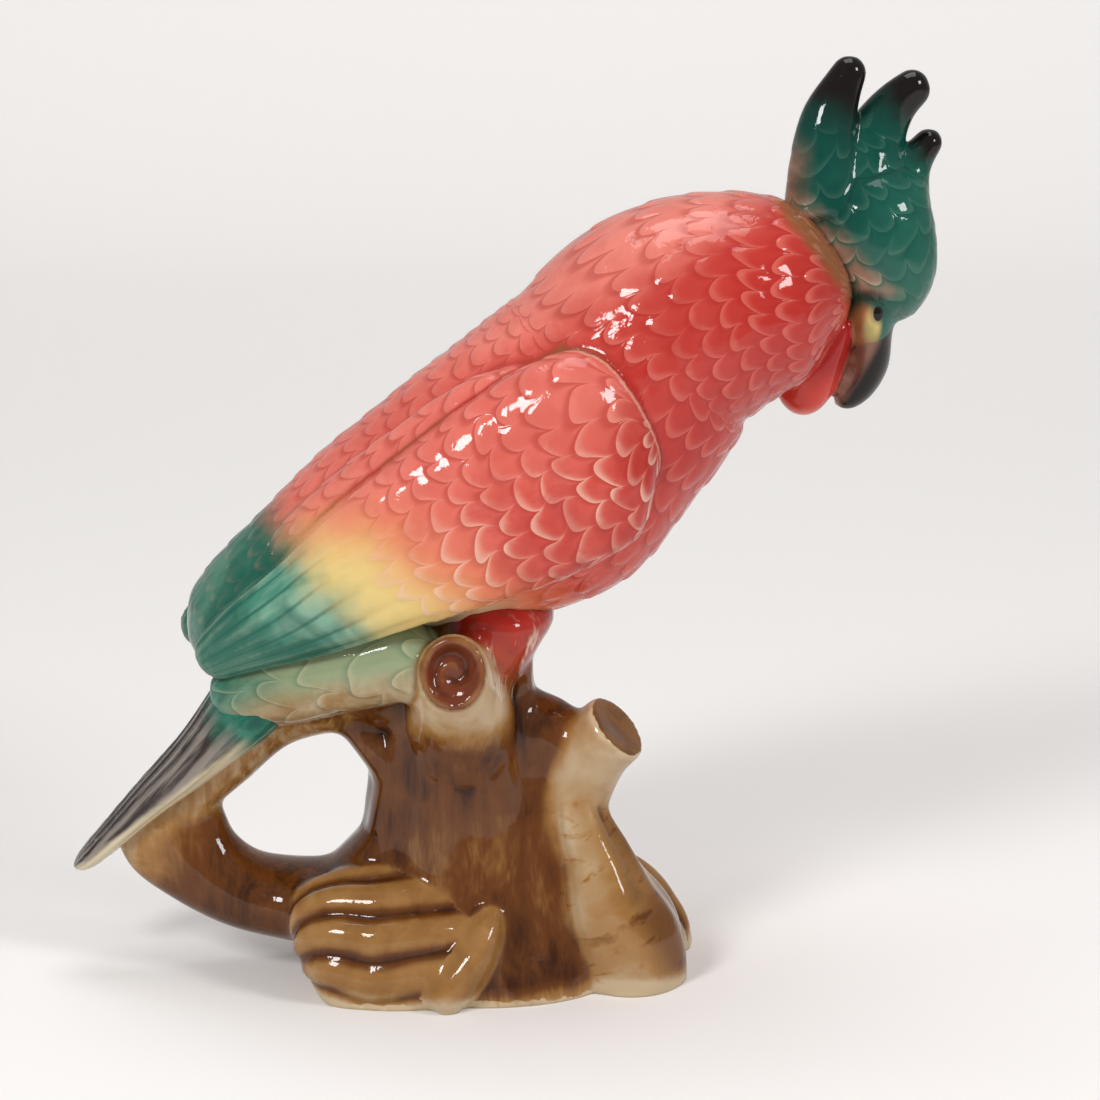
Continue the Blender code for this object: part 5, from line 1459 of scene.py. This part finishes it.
def glazed_bark(wires, scene):
    """Brown glaze sprayed over pale wood: thin on the branches, thick in the hollows, honey folds
    in the roots, a red brown knot, teal coverts under the wings and a red stained top."""
    pot, back = pots(scene), Bearings(scene)
    flow = wires.group("glaze_flow_and_shade", {"Wide Gain": 0.8})
    marks = wires.group("feather_marks", {"Rim Width": 0.10, "Groove Width": 0.14})
    cloud = wires.group("spray_mottle", {"Cloud Scale": 26.0})["Cloud"]
    fine = wires.group("spray_mottle", {"Cloud Scale": 95.0})["Cloud"]
    upright = wires.streaks(UP, FORWARD, 22.0, 120.0, 0.8)
    paint = brown_scale(wires, pot, wood_share(wires, flow, cloud, fine, upright))
    coverts = wires.ease(wires.value("coverts"), 0.15, 0.85)
    paint.lay(lower_coverts(wires, pot, back, marks, fine), coverts)
    thigh_and_stains(wires, pot, flow, cloud, fine, upright, paint)
    sawn_end_and_knot(wires, pot, flow, fine, paint)
    return paint.colour, 42.0, wires.times(upright, 0.35)


def finish_piece(piece, material):
    """Give a piece its glaze, let it ride on the figurine's body and stand for the solid."""
    piece.data.materials.append(material)
    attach(piece, "root")
    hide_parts(NODE)


class FIGURINE_OT_groups(bpy.types.Operator):
    """Build the shader groups that the glazes share"""
    bl_idname = "figurine.groups"
    bl_label = "Glaze groups"

    def execute(self, context):
        make_groups()
        return {"FINISHED"}


class FIGURINE_OT_bird(bpy.types.Operator):
    """Model the bird's body, wings and shoulders and glaze them"""
    bl_idname = "figurine.bird"
    bl_label = "Bird"

    def execute(self, context):
        scene = context.scene
        forms = bird_forms(scene, figurine_axes(scene))
        masks = (("wing", ("near_wing", "far_wing"), 4),
                 ("shoulder", ("near_shoulder", "far_shoulder"), 8))
        grain = scene.figurine_carving.body_grain
        piece = carved_piece("bird_body", forms, grain, 7, masks=masks, gouge=0.0004)
        finish_piece(piece, glaze("coral_glaze", lambda w: coral_feathers(w, scene)))
        return {"FINISHED"}


class FIGURINE_OT_head(bpy.types.Operator):
    """Model the head, crest, beak and eyes and glaze them"""
    bl_idname = "figurine.head"
    bl_label = "Head"

    def execute(self, context):
        scene = context.scene
        ax = figurine_axes(scene)
        masks = (("plume", ("tall", "middle", "short"), 6), ("beak", ("beak",), 1),
                 ("bill", ("bill",), 1), ("throat", ("throat",), 2))
        height, pitch = scene.figurine_head.head_height, scene.figurine_carving.head_pitch
        relief = feathers(0.36 * scene.figurine_carving.feather_height,
                          [(-height, -height / pitch), (height, height / pitch)], 12)
        field = (ax["head"], height, relief, ("head", "tall", "middle", "short"))
        keep = [(ax["eyes"].at(0.0), 0.004), (ax["eyes"].at(1.0), 0.004), (ax["beak"].at(0.4), 0.016)]
        grain = scene.figurine_carving.head_grain
        piece = carved_piece("head_crest", head_forms(scene, ax), grain, 30, masks=masks, keep=keep,
                             field=field)
        finish_piece(piece, glaze("crest_glaze", lambda w: crest_feathers(w, scene)))
        return {"FINISHED"}


class FIGURINE_OT_tail(bpy.types.Operator):
    """Model the tail's vanes and glaze them"""
    bl_idname = "figurine.tail"
    bl_label = "Tail"

    def execute(self, context):
        scene = context.scene
        grain = scene.figurine_carving.tail_grain
        piece = carved_piece("tail", tail_forms(scene, figurine_axes(scene)), grain, 8)
        finish_piece(piece, glaze("tail_glaze", lambda w: striped_tail(w, scene)))
        return {"FINISHED"}


class FIGURINE_OT_stump(bpy.types.Operator):
    """Model the stump, its roots and knot, the thighs and the lower coverts and glaze them"""
    bl_idname = "figurine.stump"
    bl_label = "Stump"

    def execute(self, context):
        scene = context.scene
        ax = figurine_axes(scene)
        masks = (("honey", ("mound", "back_root", "toe"), 18), ("pale", ("stub", "knot", "root"), 90),
                 ("bridge", ("bridge",), 30), ("cut", ("stub",), 3), ("knot_face", ("knot",), 1),
                 ("knot_rim", ("knot",), 7),
                 ("coverts", ("near_coverts", "far_coverts"), 16), ("thigh", ("thigh",), 24))
        keep = [(ax["stub"].at(1.0), 0.017), (ax["knot"].at(1.0), 0.016)]
        grain = scene.figurine_carving.stump_grain
        piece = carved_piece("stump", stump_forms(scene, ax), grain, 40, level=True, masks=masks,
                             keep=keep)
        finish_piece(piece, glaze("bark_glaze", lambda w: glazed_bark(w, scene), 0.30))
        return {"FINISHED"}


class FIGURINE_PG_stage(bpy.types.PropertyGroup):
    camera_distance: metres("Camera distance", "From the camera to the point it looks at", 1.2)
    camera_elevation: FloatProperty(name="Camera elevation", default=math.radians(14.0),
                                    description="How far the camera looks down", subtype="ANGLE")
    lens: FloatProperty(name="Lens", description="Focal length in millimetres", default=122.7)
    paper: colour("Paper", "Colour of the floor and backdrop", tone(240, 237, 234))
    key_level: FloatProperty(name="Key light", description="Brightness of the softboxes", default=1.0,
                             min=0.0)


# The point that the camera and the softboxes look at.
AIM = np.array([0.0159, -0.0004, 0.141])


def paper_sweep(scene):
    """Floor that curves up into a backdrop: y(t) and z(t) follow a straight run, a quarter
    circle of radius r and a straight rise, carried across x. Its far part is brightened for the
    camera alone, so that the backdrop stays pale without lighting the figurine."""
    half, front, back, radius, high = 3.0, -2.2, 1.3, 0.7, 2.6
    turn = np.linspace(0.0, math.pi / 2, 24)
    arc_y, arc_z = back + radius * np.sin(turn), radius * (1 - np.cos(turn))
    y = np.concatenate([[front], arc_y, [back + radius]])
    z = np.concatenate([[0.0], arc_z, [high]])
    left = np.stack([np.full_like(y, -half), y, z], axis=1)
    right = left * np.array([-1.0, 1.0, 1.0])
    count = len(y)
    j = np.arange(count - 1)
    sweep = raw_object("paper_sweep", np.concatenate([left, right]),
                       np.stack([j, j + count, j + count + 1, j + 1], axis=1))
    sweep.data.shade_smooth()
    material = bpy.data.materials.new("paper")
    material.use_nodes = True
    wires = Wires(material.node_tree)
    paper = (*scene.figurine_stage.paper, 1.0)
    matt = wires.node("ShaderNodeBsdfDiffuse", {"Color": paper})
    seen = wires.node("ShaderNodeLightPath").outputs["Is Camera Ray"]
    far = wires.ease(wires.dot(wires.place(), (0.0, 1.0, 0.0)), 0.0, 1.9, 0.08, 0.42)
    glow = wires.node("ShaderNodeEmission", {"Color": paper, "Strength": wires.times(far, seen)})
    both = wires.node("ShaderNodeAddShader", {0: matt.outputs[0], 1: glow.outputs[0]})
    wires.node("ShaderNodeOutputMaterial", {"Surface": both.outputs[0]})
    sweep.data.materials.append(material)


def softbox(name, place, size, level):
    """A flat lamp at place, turned to the figurine, whose strength keeps its radiance at level."""
    lamp = bpy.data.lights.new(name, "AREA")
    lamp.shape = "RECTANGLE"
    lamp.size, lamp.size_y = size
    lamp.energy = level * math.pi * size[0] * size[1]
    thing = bpy.data.objects.new(name, lamp)
    bpy.context.scene.collection.objects.link(thing)
    toward = Vector(AIM) - Vector(place)
    thing.location = place
    thing.rotation_euler = toward.to_track_quat("-Z", "Y").to_euler()
    return thing


class FIGURINE_OT_stage(bpy.types.Operator):
    """Lay the paper sweep and set the softboxes, the world and the camera"""
    bl_idname = "figurine.stage"
    bl_label = "Stage"

    def execute(self, context):
        scene, stage = context.scene, context.scene.figurine_stage
        paper_sweep(scene)
        level = stage.key_level
        softbox("key_left", (-0.75, -1.15, 1.05), (0.42, 0.42), 25.0 * level)
        softbox("fill_right", (1.15, -0.75, 0.95), (0.40, 0.40), 18.0 * level)
        softbox("top", (0.0, 0.25, 1.6), (0.9, 0.9), 2.8 * level)
        world = bpy.data.worlds.new("studio")
        world.use_nodes = True
        wires = Wires(world.node_tree)
        shader = wires.node("ShaderNodeBackground", {"Color": (0.95, 0.96, 1.0, 1.0), "Strength": 0.30})
        wires.node("ShaderNodeOutputWorld", {"Surface": shader.outputs["Background"]})
        scene.world = world
        scene.view_settings.view_transform = "Standard"
        lens = bpy.data.cameras.new("camera")
        lens.lens, lens.sensor_width = stage.lens, 36.0
        camera = bpy.data.objects.new("camera", lens)
        scene.collection.objects.link(camera)
        tilt = stage.camera_elevation
        camera.location = AIM + stage.camera_distance * np.array([0.0, -math.cos(tilt), math.sin(tilt)])
        camera.rotation_euler = (math.pi / 2 - tilt, 0.0, 0.0)
        scene.camera = camera
        return {"FINISHED"}


class FIGURINE_PT_panel(bpy.types.Panel):
    """Buttons that build the figurine"""
    bl_label = "Parrot figurine"
    bl_idname = "FIGURINE_PT_panel"
    bl_space_type = "VIEW_3D"
    bl_region_type = "UI"
    bl_category = "Figurine"

    def draw(self, context):
        for each in OPERATORS:
            self.layout.operator(each.bl_idname)


GROUPS = {"figurine_bird": FIGURINE_PG_bird, "figurine_head": FIGURINE_PG_head,
          "figurine_stump": FIGURINE_PG_stump, "figurine_carving": FIGURINE_PG_carving,
          "figurine_glaze": FIGURINE_PG_glaze, "figurine_stage": FIGURINE_PG_stage}
OPERATORS = (FIGURINE_OT_groups, FIGURINE_OT_bird, FIGURINE_OT_head, FIGURINE_OT_tail,
             FIGURINE_OT_stump, FIGURINE_OT_stage)


def register():
    for each in (*GROUPS.values(), *OPERATORS, FIGURINE_PT_panel):
        bpy.utils.register_class(each)
    for name, group in GROUPS.items():
        setattr(bpy.types.Scene, name, PointerProperty(type=group))


def unregister():
    for name in GROUPS:
        delattr(bpy.types.Scene, name)
    for each in (FIGURINE_PT_panel, *reversed(OPERATORS), *reversed(tuple(GROUPS.values()))):
        bpy.utils.unregister_class(each)


def main():
    register()
    bpy.ops.figurine.groups()
    bpy.ops.figurine.bird()
    bpy.ops.figurine.head()
    bpy.ops.figurine.tail()
    bpy.ops.figurine.stump()
    bpy.ops.figurine.stage()


if __name__ == "__main__":
    main()
